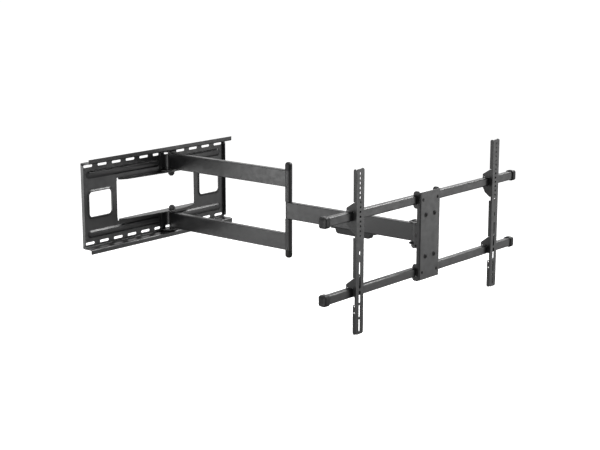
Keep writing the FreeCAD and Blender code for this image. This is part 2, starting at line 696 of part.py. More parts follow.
def centre_plate():
    """Channel that joins the rails: a plain face, flanges behind it, and lobes notched round each rail."""
    half = CENTRE_HALF_WIDTH
    front = CENTRE_FACE_Y
    path = [(-half, RAIL_FRONT_Y), (-half, front), (half, front), (half, RAIL_FRONT_Y)]
    path = [(ARM_X + u, v) for u, v in path]
    channel = slab(strip(path, CENTRE_SHEET, 1.5), on_xy, -CENTRE_HALF_HEIGHT, CENTRE_HALF_HEIGHT)
    pieces = [channel]
    for side in (-1, 1):
        x = sorted((ARM_X + side * half, ARM_X + side * (half - CENTRE_SHEET)))
        for level in (-RAIL_LEVEL, RAIL_LEVEL):
            back = CENTRE_LOBE_BACK_Y
            lobe = [(front + 6, level - 25, 0), (back, level - 25, 9), (back, level + 25, 9), (front + 6, level + 25, 0)]
            pieces.append(slab(lobe, on_yz, *x))
    plate = fuse(pieces)
    reach = (ARM_X - half - 5, ARM_X + half + 5)
    tools = [box(reach, (RAIL_FRONT_Y, RAIL_BACK_Y + 9), (level - RAIL_HEIGHT / 2, level + RAIL_HEIGHT / 2))
             for level in (-RAIL_LEVEL, RAIL_LEVEL)]
    tools += [level_slot(x, z) for x, z in level_bolt_places()]
    tools += [rod((x, CENTRE_FACE_Y - 2, z), (0, 1, 0), 2.5, 8) for x, z in corner_screw_places()]
    return cut(plate, tools)


def corner_screw_places():
    return [(ARM_X + u, w) for u in (-CORNER_SCREW_X, CORNER_SCREW_X) for w in (-RAIL_LEVEL, RAIL_LEVEL)]


def front_dome(x, y, z, radius, height):
    """Domed screw head on a face that looks along -Y."""
    head = dome_head((0, 0, 0), radius, height)
    head.rotate(Vector(0, 0, 0), Vector(1, 0, 0), 90)
    head.translate(Vector(x, y, z))
    return head


def corner_screw(x, z):
    """Screw through the face and its spacer into the rail."""
    face = CENTRE_FACE_Y
    end = RAIL_FRONT_Y + RAIL_WALL + 4
    return fuse([rod((x, face, z), (0, 1, 0), 2.5, end - face), front_dome(x, face, z, 5.0, 2.0)])


def corner_spacer(x, z):
    start = CENTRE_FACE_Y + CENTRE_SHEET
    return pipe((x, start, z), (0, 1, 0), 5.5, 2.5, RAIL_FRONT_Y - start)


def level_bolt(x, z):
    """Button head bolt with its washer face over the curved slot, screwed into the tilt channel."""
    face = CENTRE_FACE_Y - 0.3
    end = CENTRE_FACE_Y + CENTRE_SHEET + TILT_SHEET + 5
    washer = rod((x, face, z), (0, -1, 0), 7.0, 0.8)
    return fuse([rod((x, face, z), (0, 1, 0), LEVEL_BOLT_RADIUS, end - face), washer,
                 front_dome(x, face - 0.8, z, 5.4, 2.4)])


def rail():
    """Upper rail: a rounded rectangular tube."""
    y = (RAIL_FRONT_Y, RAIL_BACK_Y)
    z = (RAIL_LEVEL - RAIL_HEIGHT / 2, RAIL_LEVEL + RAIL_HEIGHT / 2)
    ends = (RAIL_X - RAIL_HALF_LENGTH, RAIL_X + RAIL_HALF_LENGTH)
    outer = slab(rect(y, z, RAIL_CORNER), on_yz, *ends)
    y = (y[0] + RAIL_WALL, y[1] - RAIL_WALL)
    z = (z[0] + RAIL_WALL, z[1] - RAIL_WALL)
    tube = outer.cut(slab(rect(y, z, RAIL_CORNER - RAIL_WALL), on_yz, *ends))
    holes = [rod((x, RAIL_FRONT_Y - 1, w), (0, 1, 0), 2.5, RAIL_WALL + 2) for x, w in corner_screw_places() if w > 0]
    return cut(tube, holes)


def rail_outline(offset):
    """Outline of the upper rail's section, grown by an offset."""
    y = (RAIL_FRONT_Y - offset, RAIL_BACK_Y + offset)
    half = RAIL_HEIGHT / 2 + offset
    return rect(y, (RAIL_LEVEL - half, RAIL_LEVEL + half), RAIL_CORNER + offset)


def end_cap(side):
    """Plastic cap: a sleeve round the rail's end, a rounded end wall, and a hollow plug inside the rail."""
    end = RAIL_X + side * RAIL_HALF_LENGTH
    rim = end - side * END_CAP_SLEEVE
    tip = end + side * END_CAP
    head = slab(rail_outline(END_CAP_WALL), on_yz, *sorted((rim, tip)))
    edges = [e for e in head.Edges if abs(e.CenterOfMass.x - tip) < 0.01]
    head = head.makeFillet(3.0, edges)
    head = head.cut(slab(rail_outline(0.05), on_yz, *sorted((rim, end))))
    plug_end = end - side * END_CAP_PLUG
    plug = slab(rail_outline(-RAIL_WALL - 0.05), on_yz, *sorted((end, plug_end)))
    hollow = slab(rail_outline(-RAIL_WALL - 2.05), on_yz, *sorted((end, plug_end)))
    return fuse([head, plug.cut(hollow)])


# ---------------------------------------------------------------- television brackets
def bracket_cheek(place_x):
    """One side flange of a television bracket, cut back where the hook plates stand."""
    top = BRACKET_MID_Z + BRACKET_LENGTH / 2
    bottom = top - BRACKET_LENGTH
    front = TV_PLANE_Y
    flange = front + BRACKET_DEPTH
    recess = flange - 6
    upper, lower = RAIL_LEVEL, -RAIL_LEVEL
    outline = [
        (front, bottom, 5), (flange, bottom, 5),
        (flange, lower - 32, 1), (recess, lower - 32, 1), (recess, lower + 42, 1), (flange, lower + 42, 1),
        (flange, upper - 57, 1), (recess, upper - 57, 1), (recess, upper + 39, 1), (flange, upper + 39, 1),
        (flange, top, 5), (front, top, 5),
    ]
    return slab(outline, on_yz, place_x, place_x + BRACKET_SHEET)


def hook_plate(place_x, level, upper):
    """Plate welded inside a flange; each has a prong behind its rail, the upper one also passes below it."""
    inside = TV_PLANE_Y + BRACKET_SHEET
    flange = TV_PLANE_Y + BRACKET_DEPTH
    back = RAIL_BACK_Y + 3.5
    rise = 37.5 if upper else 40.5
    outline = [(inside, level + rise, 0), (flange, level + rise, 1), (back, level + 21, 1.5)]
    if upper:
        outline += [(back, level - 17, 3), (back - 9, level - 34, 6), (flange, level - 46, 2), (inside, level - 46, 0)]
    else:
        outline += [(back, level + 5, 1), (RAIL_BACK_Y - 4, level + 5, 0), (flange, level - 10, 0), (inside, level - 10, 0)]
    return slab(outline, on_yz, place_x, place_x + BRACKET_SHEET)


def rail_notches(x):
    """Space that each rail passes through, open to the back below the prongs so that the bracket swings on."""
    reach = (x - 20, x + 20)
    play = RAIL_PLAY
    half = RAIL_HEIGHT / 2 + play
    y = (RAIL_FRONT_Y - play, RAIL_BACK_Y + play)
    tools = []
    for level, foot in ((RAIL_LEVEL, half), (-RAIL_LEVEL, half + 20)):
        tools.append(box(reach, y, (level - foot, level + half)))
        tools.append(box(reach, (y[0], RAIL_BACK_Y + 20), (level - foot, level + half - 7)))
    return tools


def tv_bracket(x):
    """Channel that screws to the television and hooks over both rails."""
    top = BRACKET_MID_Z + BRACKET_LENGTH / 2
    bottom = top - BRACKET_LENGTH
    half = BRACKET_HALF_WIDTH
    corners = rect((x - half, x + half), (bottom, top), 6)
    pieces = [slab(corners, on_xz, TV_PLANE_Y, TV_PLANE_Y + BRACKET_SHEET)]
    pieces += [bracket_cheek(x - half), bracket_cheek(x + half - BRACKET_SHEET)]
    for place_x in (x - half + BRACKET_SHEET, x + half - 2 * BRACKET_SHEET):
        pieces += [hook_plate(place_x, RAIL_LEVEL, True), hook_plate(place_x, -RAIL_LEVEL, False)]
    tools = rail_notches(x)
    for z in bracket_holes():
        tools.append(rod((x, TV_PLANE_Y - 2, z), (0, 1, 0), BRACKET_HOLE_RADIUS, 6))
    for z, length in bracket_slots():
        outline = slot(x, z, length, 2 * BRACKET_HOLE_RADIUS, along_u=False)
        tools.append(slab(outline, on_xz, TV_PLANE_Y - 2, TV_PLANE_Y + 4))
    for drop in (36, 54):
        at = (x - 30, RAIL_FRONT_Y - 6.5, -RAIL_LEVEL - drop)
        tools.append(rod(at, (1, 0, 0), 2.0, 60))
    return cut(fuse(pieces), tools)


def bracket_holes():
    first = BRACKET_MID_Z + BRACKET_LENGTH / 2 - BRACKET_FIRST_HOLE
    return [first - BRACKET_HOLE_PITCH * k for k in range(BRACKET_HOLES)]


def bracket_slots():
    slots = [(5.0, 11.0)]
    return slots + [(BRACKET_SLOT_Z - BRACKET_SLOT_PITCH * k, BRACKET_SLOT_LENGTH) for k in range(BRACKET_SLOTS)]


# ---------------------------------------------------------------- export
def main():
    # wall body
    save("wall_plate", [wall_plate()])
    upper, lower = both_ends(shoulder_bracket())
    save("shoulder_bracket_upper", [upper])
    save("shoulder_bracket_lower", [lower])
    save("shoulder_bolts", both_ends(shoulder_bolt()))
    save("shoulder_nuts", both_ends(shoulder_nut()))
    save("shoulder_washers", [w for washer in shoulder_washers() for w in both_ends(washer)])
    # lower arm body
    upper, lower = both_ends(lower_arm_tube())
    save("lower_arm_tube_upper", [upper])
    save("lower_arm_tube_lower", [lower])
    save("shoulder_sleeves", both_ends(sleeve(SHOULDER_Y, ARM_LEVEL)))
    bore = PIVOT_SHANK_RADIUS + PIVOT_CLEARANCE
    save("shoulder_bushes", [b for bush_ in arm_bushes(SHOULDER_Y, ARM_LEVEL, bore) for b in both_ends(bush_)])
    save("elbow_knuckles", both_ends(sleeve(ELBOW_Y, ARM_LEVEL, POST_RADIUS, POST_PIN_RADIUS)))
    save("elbow_spacers", both_ends(elbow_spacer()))
    save("elbow_pin", [elbow_pin()])
    save("elbow_nuts", both_ends(elbow_nut()))
    save("elbow_nut_washers", both_ends(elbow_nut_washer()))
    save("elbow_caps", both_ends(elbow_cap()))
    # upper arm body
    save("upper_arm_tube", [upper_arm_tube()])
    save("elbow_sleeve", [sleeve(ELBOW_Y, 0, SLEEVE_RADIUS, POST_BUSH_RADIUS)])
    save("elbow_bushes", arm_bushes(ELBOW_Y, 0, POST_PIN_RADIUS + PIVOT_CLEARANCE, POST_BUSH_RADIUS, 1.3))
    save("head_sleeve", [sleeve(HEAD_Y, 0)])
    save("head_bushes", arm_bushes(HEAD_Y, 0, PIVOT_SHANK_RADIUS + PIVOT_CLEARANCE))
    save("cable_cover", [cable_cover()])
    save("cable_cover_screws", cover_screws())
    # head swivel body
    save("head_yoke", [head_yoke()])
    save("head_bolt", [head_bolt()])
    save("head_nut", [head_nut()])
    save("head_washers", head_washers())
    save("tilt_bolt", [tilt_bolt()])
    save("tilt_nut", [tilt_nut()])
    save("tilt_washers", tilt_washers())
    # tilting head body
    save("tilt_channel", [tilt_channel()])
    save("level_bolts", [level_bolt(x, z) for x, z in level_bolt_places()])
    # rail frame body
    save("centre_plate", [centre_plate()])
    upper, lower = both_ends(rail())
    save("rail_upper", [upper])
    save("rail_lower", [lower])
    save("rail_end_caps", [cap for side in (-1, 1) for cap in both_ends(end_cap(side))])
    save("corner_screws", [corner_screw(x, z) for x, z in corner_screw_places()])
    save("corner_spacers", [corner_spacer(x, z) for x, z in corner_screw_places()])
    # television brackets
    for side, x in BRACKET_X.items():
        save("tv_bracket_" + side, [tv_bracket(x)])


main()
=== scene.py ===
"""Looks of a full motion television wall mount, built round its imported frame.

Every size is in metres. Each sub-assembly is a class with its sizes as fields, and each finish
is a frozen dataclass that builds one procedural material.
"""

import logging
import math
from collections.abc import Iterable, Sequence
from dataclasses import dataclass, field
from enum import Enum

import bmesh
import bpy
from mathutils import Matrix, Vector


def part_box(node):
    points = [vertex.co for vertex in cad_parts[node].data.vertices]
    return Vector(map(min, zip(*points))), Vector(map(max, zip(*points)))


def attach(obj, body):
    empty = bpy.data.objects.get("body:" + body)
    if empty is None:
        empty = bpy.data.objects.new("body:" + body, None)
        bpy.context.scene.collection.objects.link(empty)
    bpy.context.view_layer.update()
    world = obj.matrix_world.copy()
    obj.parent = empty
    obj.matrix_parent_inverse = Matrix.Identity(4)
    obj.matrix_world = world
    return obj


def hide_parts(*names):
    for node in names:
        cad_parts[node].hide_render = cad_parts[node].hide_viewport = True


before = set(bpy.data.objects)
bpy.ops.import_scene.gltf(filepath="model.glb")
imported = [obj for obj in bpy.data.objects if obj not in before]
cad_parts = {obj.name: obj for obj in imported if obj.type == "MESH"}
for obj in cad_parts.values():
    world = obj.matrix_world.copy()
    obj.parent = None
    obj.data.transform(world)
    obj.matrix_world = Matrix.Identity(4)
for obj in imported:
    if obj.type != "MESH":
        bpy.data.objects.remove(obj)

LOG = logging.getLogger("wall_mount")
BMesh = bmesh.types.BMesh
Material = bpy.types.Material
Object = bpy.types.Object
Socket = bpy.types.NodeSocket
Pair = tuple[float, float]
Point = tuple[float, float, float]
Profile = Sequence[Pair]
Sections = Sequence[tuple[float, Profile]]

FULL: Pair = (0.0, 1.0)
MID_NOISE: Pair = (0.35, 0.65)
WIDE_NOISE: Pair = (0.3, 0.7)
WHITE = (1.0, 1.0, 1.0, 1.0)
ON_AXIS = 1e-9
SAME_POINT = 1e-7


class Drive(Enum):
    """What a screw or bolt head is turned with."""

    HEX_SOCKET = "hex_socket"
    CROSS = "cross"


class Facing(Enum):
    """Direction that the outer side of a fastener or cap looks in."""

    UP = (0.0, 0.0, 1.0)
    DOWN = (0.0, 0.0, -1.0)
    LEFT = (-1.0, 0.0, 0.0)
    RIGHT = (1.0, 0.0, 0.0)
    FRONT = (0.0, -1.0, 0.0)


Places = Sequence[tuple[Point, Facing]]


# ---------------------------------------------------------------- materials
class ShaderSheet:
    """One material's node tree while it is being drawn up."""

    def __init__(self, name: str) -> None:
        """Starts a material with only its surface shader and output.

        Args:
            name: Name of the material.
        """
        self.material = bpy.data.materials.new(name)
        self.material.use_nodes = True
        self.tree = self.material.node_tree
        self.tree.nodes.clear()
        self.output = self.add("ShaderNodeOutputMaterial")
        self.surface = self.add("ShaderNodeBsdfPrincipled")
        self.join(self.surface.outputs["BSDF"], self.output.inputs["Surface"])
        self.place = self.add("ShaderNodeTexCoord").outputs["Object"]

    def add(
        self, kind: str, values: dict[str, object] | None = None, **settings: object
    ) -> bpy.types.Node:
        """Adds a node.

        Args:
            kind: Blender's name for the type of node.
            values: Values for the node's input sockets, by name or number.
            **settings: Properties of the node itself.

        Returns:
            The new node.
        """
        node = self.tree.nodes.new(kind)
        for key, value in settings.items():
            setattr(node, key, value)
        for key, value in (values or {}).items():
            node.inputs[key].default_value = value
        return node

    def join(self, source: Socket, target: Socket) -> None:
        """Links an output socket to an input socket."""
        self.tree.links.new(source, target)

    def feed(self, name: str, source: Socket) -> None:
        """Links a socket to one of the surface shader's inputs."""
        self.join(source, self.surface.inputs[name])

    def set(self, **values: object) -> None:
        """Sets uniform values on the surface shader, with underscores for spaces in names."""
        for key, value in values.items():
            self.surface.inputs[key.replace("_", " ")].default_value = value

    def noise(
        self, size: float, detail: float = 2.0, stretch: Point = (1.0, 1.0, 1.0)
    ) -> Socket:
        """Noise on object coordinates.

        Args:
            size: Size of one blotch of the noise.
            detail: Octaves of finer noise.
            stretch: How much shorter the blotches are along each axis.

        Returns:
            The noise's value socket, about 0.5 on average.
        """
        mapping = self.add("ShaderNodeMapping", {"Scale": stretch})
        self.join(self.place, mapping.inputs["Vector"])
        values = {"Scale": 1.0 / size, "Detail": detail, "Roughness": 0.55}
        node = self.add("ShaderNodeTexNoise", values)
        self.join(mapping.outputs["Vector"], node.inputs["Vector"])
        return node.outputs["Fac"]

    def remap(self, source: Socket, old: Pair, new: Pair) -> Socket:
        """Maps a value from one range to another, held within the new range.

        Args:
            source: The value's socket.
            old: Lowest and highest value that come in.
            new: What those two are mapped to.

        Returns:
            The mapped value's socket.
        """
        node = self.add(
            "ShaderNodeMapRange",
            {"From Min": old[0], "From Max": old[1], "To Min": new[0], "To Max": new[1]},
            interpolation_type="SMOOTHSTEP",
        )
        self.join(source, node.inputs["Value"])
        return node.outputs["Result"]

    def math(self, operation: str, one: Socket, two: Socket | float) -> Socket:
        """Arithmetic on a socket and a socket or number, held between 0 and 1.

        Args:
            operation: Blender's name for the operation.
            one: Socket of the first value.
            two: Socket of the second value, or the value.

        Returns:
            The result's socket.
        """
        node = self.add("ShaderNodeMath", operation=operation, use_clamp=True)
        self.join(one, node.inputs[0])
        if isinstance(two, Socket):
            self.join(two, node.inputs[1])
        else:
            node.inputs[1].default_value = two
        return node.outputs["Value"]

    def blend(self, factor: Socket, low: Socket | Point, high: Point) -> Socket:
        """Mixes two colours.

        Args:
            factor: 0 gives low and 1 gives high.
            low: A colour, or a colour socket.
            high: A colour.

        Returns:
            The mixed colour's socket.
        """
        node = self.add("ShaderNodeMix", data_type="RGBA")
        self.join(factor, node.inputs["Factor"])
        if isinstance(low, Socket):
            self.join(low, node.inputs[6])
        else:
            node.inputs[6].default_value = (*low, 1.0)
        node.inputs[7].default_value = (*high, 1.0)
        return node.outputs[2]

    def edge_mask(self, radius: float, sharp: float = 0.10) -> Socket:
        """How near a point is to a convex or concave edge.

        Args:
            radius: Distance from the edge at which the mask fades out.
            sharp: How far the rounded normal has turned where the mask is full.

        Returns:
            A value socket, 0 on flat faces and 1 on edges.
        """
        rounded = self.add("ShaderNodeBevel", {"Radius": radius}, samples=6)
        geometry = self.add("ShaderNodeNewGeometry")
        dot = self.add("ShaderNodeVectorMath", operation="DOT_PRODUCT")
        self.join(rounded.outputs["Normal"], dot.inputs[0])
        self.join(geometry.outputs["Normal"], dot.inputs[1])
        return self.remap(dot.outputs["Value"], (1.0 - sharp, 0.995), (1.0, 0.0))

    def relief(self, height: Socket, depth: float, radius: float, strength: float) -> None:
        """Bumps the surface on top of slightly rounded edges.

        Args:
            height: Height pattern, from 0 to 1.
            depth: Height in metres of a full bump.
            radius: Radius that sharp edges are softened to.
            strength: Strength of the bump.
        """
        soft = self.add("ShaderNodeBevel", {"Radius": radius}, samples=6)
        bump = self.add("ShaderNodeBump", {"Strength": strength, "Distance": depth})
        self.join(height, bump.inputs["Height"])
        self.join(soft.outputs["Normal"], bump.inputs["Normal"])
        self.feed("Normal", bump.outputs["Normal"])


@dataclass(frozen=True)
class PowderCoat:
    """Satin black powder coat on steel, with fine orange peel, and edges painted lighter and made
    shinier: partly rubbed coat, partly a painted highlight.
    """

    name: str = "powder_coat"
    deep: Point = (0.0042, 0.0043, 0.0047)
    pale: Point = (0.0068, 0.0070, 0.0076)
    # Colour of the edges: rubbed coat together with a painted highlight along them.
    edge_wear_and_highlight: Point = (0.035, 0.0355, 0.037)
    roughness: Pair = (0.33, 0.42)
    peel_size: float = 0.0011
    peel_depth: float = 0.00006
    edge_radius: float = 0.0007
    mottle_size: float = 0.055
    speckle_size: float = 0.0016
    speckle_lift: float = 2.2
    edge_breakup_size: float = 0.006
    patch_size: float = 0.018
    gloss: float = 0.8

    def build(self) -> Material:
        """Builds the material.

        Returns:
            The finished powder coat.
        """
        sheet = ShaderSheet(self.name)
        mottle = sheet.remap(sheet.noise(self.mottle_size, 3.0), MID_NOISE, FULL)
        colour = sheet.blend(mottle, self.deep, self.pale)
        speckle = sheet.remap(sheet.noise(self.speckle_size, 1.0), (0.60, 0.74), (0.0, 0.35))
        fleck = tuple(self.speckle_lift * part for part in self.pale)
        colour = sheet.blend(speckle, colour, fleck)
        # Edges are painted a lighter grey and made a little glossier, partly as rubbed coat and
        # partly as a painted highlight line.
        edges = sheet.edge_mask(self.edge_radius)
        edge_breakup = sheet.remap(sheet.noise(self.edge_breakup_size), WIDE_NOISE, (0.35, 1.0))
        lighter_edges = sheet.math("MULTIPLY", edges, edge_breakup)
        sheet.feed("Base Color", sheet.blend(lighter_edges, colour, self.edge_wear_and_highlight))
        patchy = sheet.remap(sheet.noise(self.patch_size, 4.0), WIDE_NOISE, self.roughness)
        rough = sheet.math("SUBTRACT", patchy, sheet.math("MULTIPLY", lighter_edges, 0.10))
        sheet.feed("Roughness", rough)
        sheet.relief(sheet.noise(self.peel_size, 2.5), self.peel_depth, 0.0004, 0.55)
        sheet.set(Specular_IOR_Level=self.gloss, IOR=1.5)
        return sheet.material


@dataclass(frozen=True)
class PlatedSteel:
    """Black zinc plated steel with fine turning marks and rubbed edges."""

    name: str = "fastener_black"
    base: Point = (0.030, 0.030, 0.032)
    tint: Point = (0.048, 0.046, 0.045)
    rubbed: Point = (0.17, 0.168, 0.165)
    roughness: Pair = (0.26, 0.42)
    edge_radius: float = 0.0004
    mottle_size: float = 0.004
    edge_breakup_size: float = 0.002
    mark_size: float = 0.0012
    mark_depth: float = 0.00002

    def build(self) -> Material:
        """Builds the material.

        Returns:
            The finished plated steel.
        """
        sheet = ShaderSheet(self.name)
        mottle = sheet.remap(sheet.noise(self.mottle_size, 3.0), MID_NOISE, FULL)
        colour = sheet.blend(mottle, self.base, self.tint)
        edges = sheet.edge_mask(self.edge_radius, 0.2)
        edge_breakup = sheet.remap(sheet.noise(self.edge_breakup_size), MID_NOISE, (0.2, 0.9))
        lighter_edges = sheet.math("MULTIPLY", edges, edge_breakup)
        sheet.feed("Base Color", sheet.blend(lighter_edges, colour, self.rubbed))
        marks = sheet.noise(self.mark_size, 3.0, (1.0, 1.0, 5.0))
        sheet.feed("Roughness", sheet.remap(marks, WIDE_NOISE, self.roughness))
        sheet.relief(marks, self.mark_depth, 0.00025, 0.5)
        sheet.set(Metallic=0.75, Specular_IOR_Level=0.5)
        return sheet.material


@dataclass(frozen=True)
class MouldedPlastic:
    """Injection moulded black plastic with a spark-eroded texture."""

    name: str = "moulded_plastic"
    base: Point = (0.0040, 0.0041, 0.0044)
    high: Point = (0.0062, 0.0063, 0.0068)
    rubbed: Point = (0.020, 0.0205, 0.0215)
    roughness: Pair = (0.40, 0.52)
    texture_size: float = 0.0006
    texture_depth: float = 0.00005
    edge_radius: float = 0.0005
    mottle_size: float = 0.02
    patch_size: float = 0.005

    def build(self) -> Material:
        """Builds the material.

        Returns:
            The finished plastic.
        """
        sheet = ShaderSheet(self.name)
        mottle = sheet.remap(sheet.noise(self.mottle_size, 4.0), MID_NOISE, FULL)
        colour = sheet.blend(mottle, self.base, self.high)
        colour = sheet.blend(sheet.edge_mask(self.edge_radius), colour, self.rubbed)
        sheet.feed("Base Color", colour)
        scale = {"Scale": 1.0 / self.texture_size}
        cells = sheet.add("ShaderNodeTexVoronoi", scale, feature="SMOOTH_F1")
        sheet.join(sheet.place, cells.inputs["Vector"])
        patchy = sheet.remap(sheet.noise(self.patch_size, 3.0), WIDE_NOISE, self.roughness)
        sheet.feed("Roughness", patchy)
        sheet.relief(cells.outputs["Distance"], self.texture_depth, 0.0004, 0.5)
        sheet.set(Specular_IOR_Level=0.48, IOR=1.49)
        return sheet.material


@dataclass(frozen=True)
class Nylon:
    """Black nylon of the bushes and of the lock nuts' collars."""

    name: str = "bush_nylon"
    base: Point = (0.012, 0.012, 0.013)
    high: Point = (0.024, 0.024, 0.026)
    roughness: Pair = (0.38, 0.52)
    flow_size: float = 0.003
    grain_size: float = 0.0008
    grain_depth: float = 0.00002

    def build(self) -> Material:
        """Builds the material.

        Returns:
            The finished nylon.
        """
        sheet = ShaderSheet(self.name)
        flow = sheet.noise(self.flow_size, 3.0, (1.0, 1.0, 2.5))
        streaks = sheet.remap(flow, MID_NOISE, FULL)
        sheet.feed("Base Color", sheet.blend(streaks, self.base, self.high))
        sheet.feed("Roughness", sheet.remap(flow, WIDE_NOISE, self.roughness))
        sheet.relief(sheet.noise(self.grain_size), self.grain_depth, 0.0003, 0.4)
        sheet.set(Specular_IOR_Level=0.5, Subsurface_Weight=0.03, Subsurface_Scale=0.001)
        return sheet.material


@dataclass(frozen=True)
class PaleFloor:
    """Matt white studio floor."""

    name: str = "pale_floor"
    colour: Point = (0.93, 0.93, 0.93)
    lighter: Point = (0.94, 0.94, 0.94)
    blotch_size: float = 0.6
    glow: float = 0.72

    def build(self) -> Material:
        """Builds the material.

        Returns:
            The finished floor.
        """
        sheet = ShaderSheet(self.name)
        blotches = sheet.remap(sheet.noise(self.blotch_size), WIDE_NOISE, FULL)
        sheet.feed("Base Color", sheet.blend(blotches, self.colour, self.lighter))
        sheet.set(Roughness=0.9, Specular_IOR_Level=0.1)
        sheet.set(Emission_Color=WHITE, Emission_Strength=self.glow)
        return sheet.material


@dataclass
class Finishes:
    """The finishes that the mount is made in, each built once."""

    coat: Material = field(default_factory=lambda: PowderCoat().build())
    steel: Material = field(default_factory=lambda: PlatedSteel().build())
    plastic: Material = field(default_factory=lambda: MouldedPlastic().build())
    nylon: Material = field(default_factory=lambda: Nylon().build())

    def dress(self, node: str, material: Material) -> None:
        """Gives a node of the frame its finish.

        Args:
            node: Name of the frame's node.
            material: The finish.
        """
        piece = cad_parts[node]
        if not piece.material_slots:
            piece.data.materials.append(material)
        for slot in piece.material_slots:
            slot.material = material
        LOG.info("%s: finished in %s", node, material.name)


# ---------------------------------------------------------------- mesh helpers
def new_object(name: str, mesh: bpy.types.Mesh) -> Object:
    """Puts a mesh in the scene, unmoved.

    Args:
        name: Name of the object.
        mesh: Its mesh.

    Returns:
        The new object.
    """
    thing = bpy.data.objects.new(name, mesh)
    bpy.context.scene.collection.objects.link(thing)
    return thing


def mesh_object(name: str, shape: BMesh, smooth_angle: float = 35.0) -> Object:
    """Turns an edited mesh into an object with outward faces and smooth shading below an angle.

    Args:
        name: Name of the object.
        shape: The edited mesh, which is freed.
        smooth_angle: Edges that turn by more degrees than this stay sharp.

    Returns:
        The new object.
    """
    bmesh.ops.remove_doubles(shape, verts=shape.verts, dist=SAME_POINT)
    bmesh.ops.recalc_face_normals(shape, faces=shape.faces)
    mesh = bpy.data.meshes.new(name)
    shape.to_mesh(mesh)
    shape.free()
    shade(mesh, smooth_angle)
    return new_object(name, mesh)


def shade(mesh: bpy.types.Mesh, angle: float) -> None:
    """Smooths a mesh's faces, with edges sharper than the angle in degrees kept sharp."""
    mesh.polygons.foreach_set("use_smooth", [True] * len(mesh.polygons))
    mesh.set_sharp_from_angle(angle=math.radians(angle))


def settle(thing: Object) -> Object:
    """Replaces an object's mesh with what its modifiers make of it, and removes them.

    Args:
        thing: Object with live modifiers.

    Returns:
        The same object, as a plain mesh.
    """
    graph = bpy.context.evaluated_depsgraph_get()
    mesh = bpy.data.meshes.new_from_object(thing.evaluated_get(graph), depsgraph=graph)
    thing.modifiers.clear()
    old, thing.data = thing.data, mesh
    bpy.data.meshes.remove(old)
    return thing


def soften(thing: Object, width: float, angle: float) -> Object:
    """Bevels an object's sharp edges and evens its normals.

    Args:
        thing: The object.
        width: Width of the bevel.
        angle: Edges that turn by more degrees than this are bevelled.

    Returns:
        The same object, as a plain mesh.
    """
    bevel = thing.modifiers.new("edges", "BEVEL")
    bevel.width = width
    bevel.segments = 2
    bevel.limit_method = "ANGLE"
    bevel.angle_limit = math.radians(angle)
    bevel.use_clamp_overlap = True
    thing.modifiers.new("normals", "WEIGHTED_NORMAL").keep_sharp = True
    return settle(thing)


def lathe(shape: BMesh, profile: Profile, segments: int = 48) -> None:
    """Revolves a closed or pole-to-pole profile about the Z axis.

    Args:
        shape: Mesh that the faces are added to.
        profile: Points of (radius, z), from one end to the other.
        segments: Steps round the axis.
    """
    rings: list[list[bmesh.types.BMVert]] = []
    for radius, z in profile:
        if radius < ON_AXIS:
            rings.append([shape.verts.new((0.0, 0.0, z))])
            continue
        turns = [2 * math.pi * k / segments for k in range(segments)]
        points = [(radius * math.cos(a), radius * math.sin(a), z) for a in turns]
        rings.append([shape.verts.new(point) for point in points])
    for low, high in zip(rings, rings[1:]):
        for k in range(segments):
            below = [low[k % len(low)], low[(k + 1) % len(low)]]
            above = [high[(k + 1) % len(high)], high[k % len(high)]]
            unique = list(dict.fromkeys(below + above))
            if len(unique) > 2:
                shape.faces.new(unique)


def arc(centre: Pair, radius: float, start: float, end: float, steps: int) -> list[Pair]:
    """Points of an arc.

    Args:
        centre: Centre of the arc.
        radius: Its radius.
        start: Angle of its first point, in degrees.
        end: Angle of its last point, in degrees.
        steps: Number of steps along it.

    Returns:
        The points, from start to end.
    """
    turns = [math.radians(start + (end - start) * k / steps) for k in range(steps + 1)]
    return [(centre[0] + radius * math.cos(a), centre[1] + radius * math.sin(a)) for a in turns]


def dome(radius: float, height: float, steps: int = 10) -> list[Pair]:
    """Profile of a low dome from its rim to its pole.

    Args:
        radius: Radius of the rim.
        height: Height of the dome.
        steps: Number of steps along it.

    Returns:
        Points of (radius, z), with the rim at z 0.
    """
    ball = (radius * radius + height * height) / (2 * height)
    half = math.asin(min(1.0, radius / ball))
    turns = [half * (1 - k / steps) for k in range(steps + 1)]
    return [(ball * math.sin(a), ball * math.cos(a) - (ball - height)) for a in turns]


def prism(shape: BMesh, outline: Profile, low: float, high: float) -> None:
    """Adds an upright prism of a flat outline.

    Args:
        shape: Mesh that the faces are added to.
        outline: Points of (x, y) round the outline.
        low: Level of the bottom.
        high: Level of the top.
    """
    bottom = [shape.verts.new((x, y, low)) for x, y in outline]
    top = [shape.verts.new((x, y, high)) for x, y in outline]
    shape.faces.new(bottom[::-1])
    shape.faces.new(top)
    for k in range(len(outline)):
        after = (k + 1) % len(outline)
        shape.faces.new((bottom[k], bottom[after], top[after], top[k]))


def hexagon(flats: float) -> list[Pair]:
    """Outline of a hexagon.

    Args:
        flats: Width across flats.

    Returns:
        Its six corners, in order.
    """
    corner = flats / math.sqrt(3)
    turns = [math.pi * k / 3 for k in range(6)]
    return [(corner * math.cos(a), corner * math.sin(a)) for a in turns]


def rounded_rectangle(width: float, height: float, radius: float, steps: int = 8) -> list[Pair]:
    """Outline of a rounded rectangle centred on the origin.

    Args:
        width: Size along the first axis.
        height: Size along the second axis.
        radius: Corner radius.
        steps: Steps in each corner.

    Returns:
        Points in order round the outline.
    """
    across, up = width / 2 - radius, height / 2 - radius
    centres = [(across, up), (-across, up), (-across, -up), (across, -up)]
    outline: list[Pair] = []
    for centre, start in zip(centres, (0, 90, 180, 270)):
        outline += arc(centre, radius, start, start + 90, steps)
    return outline


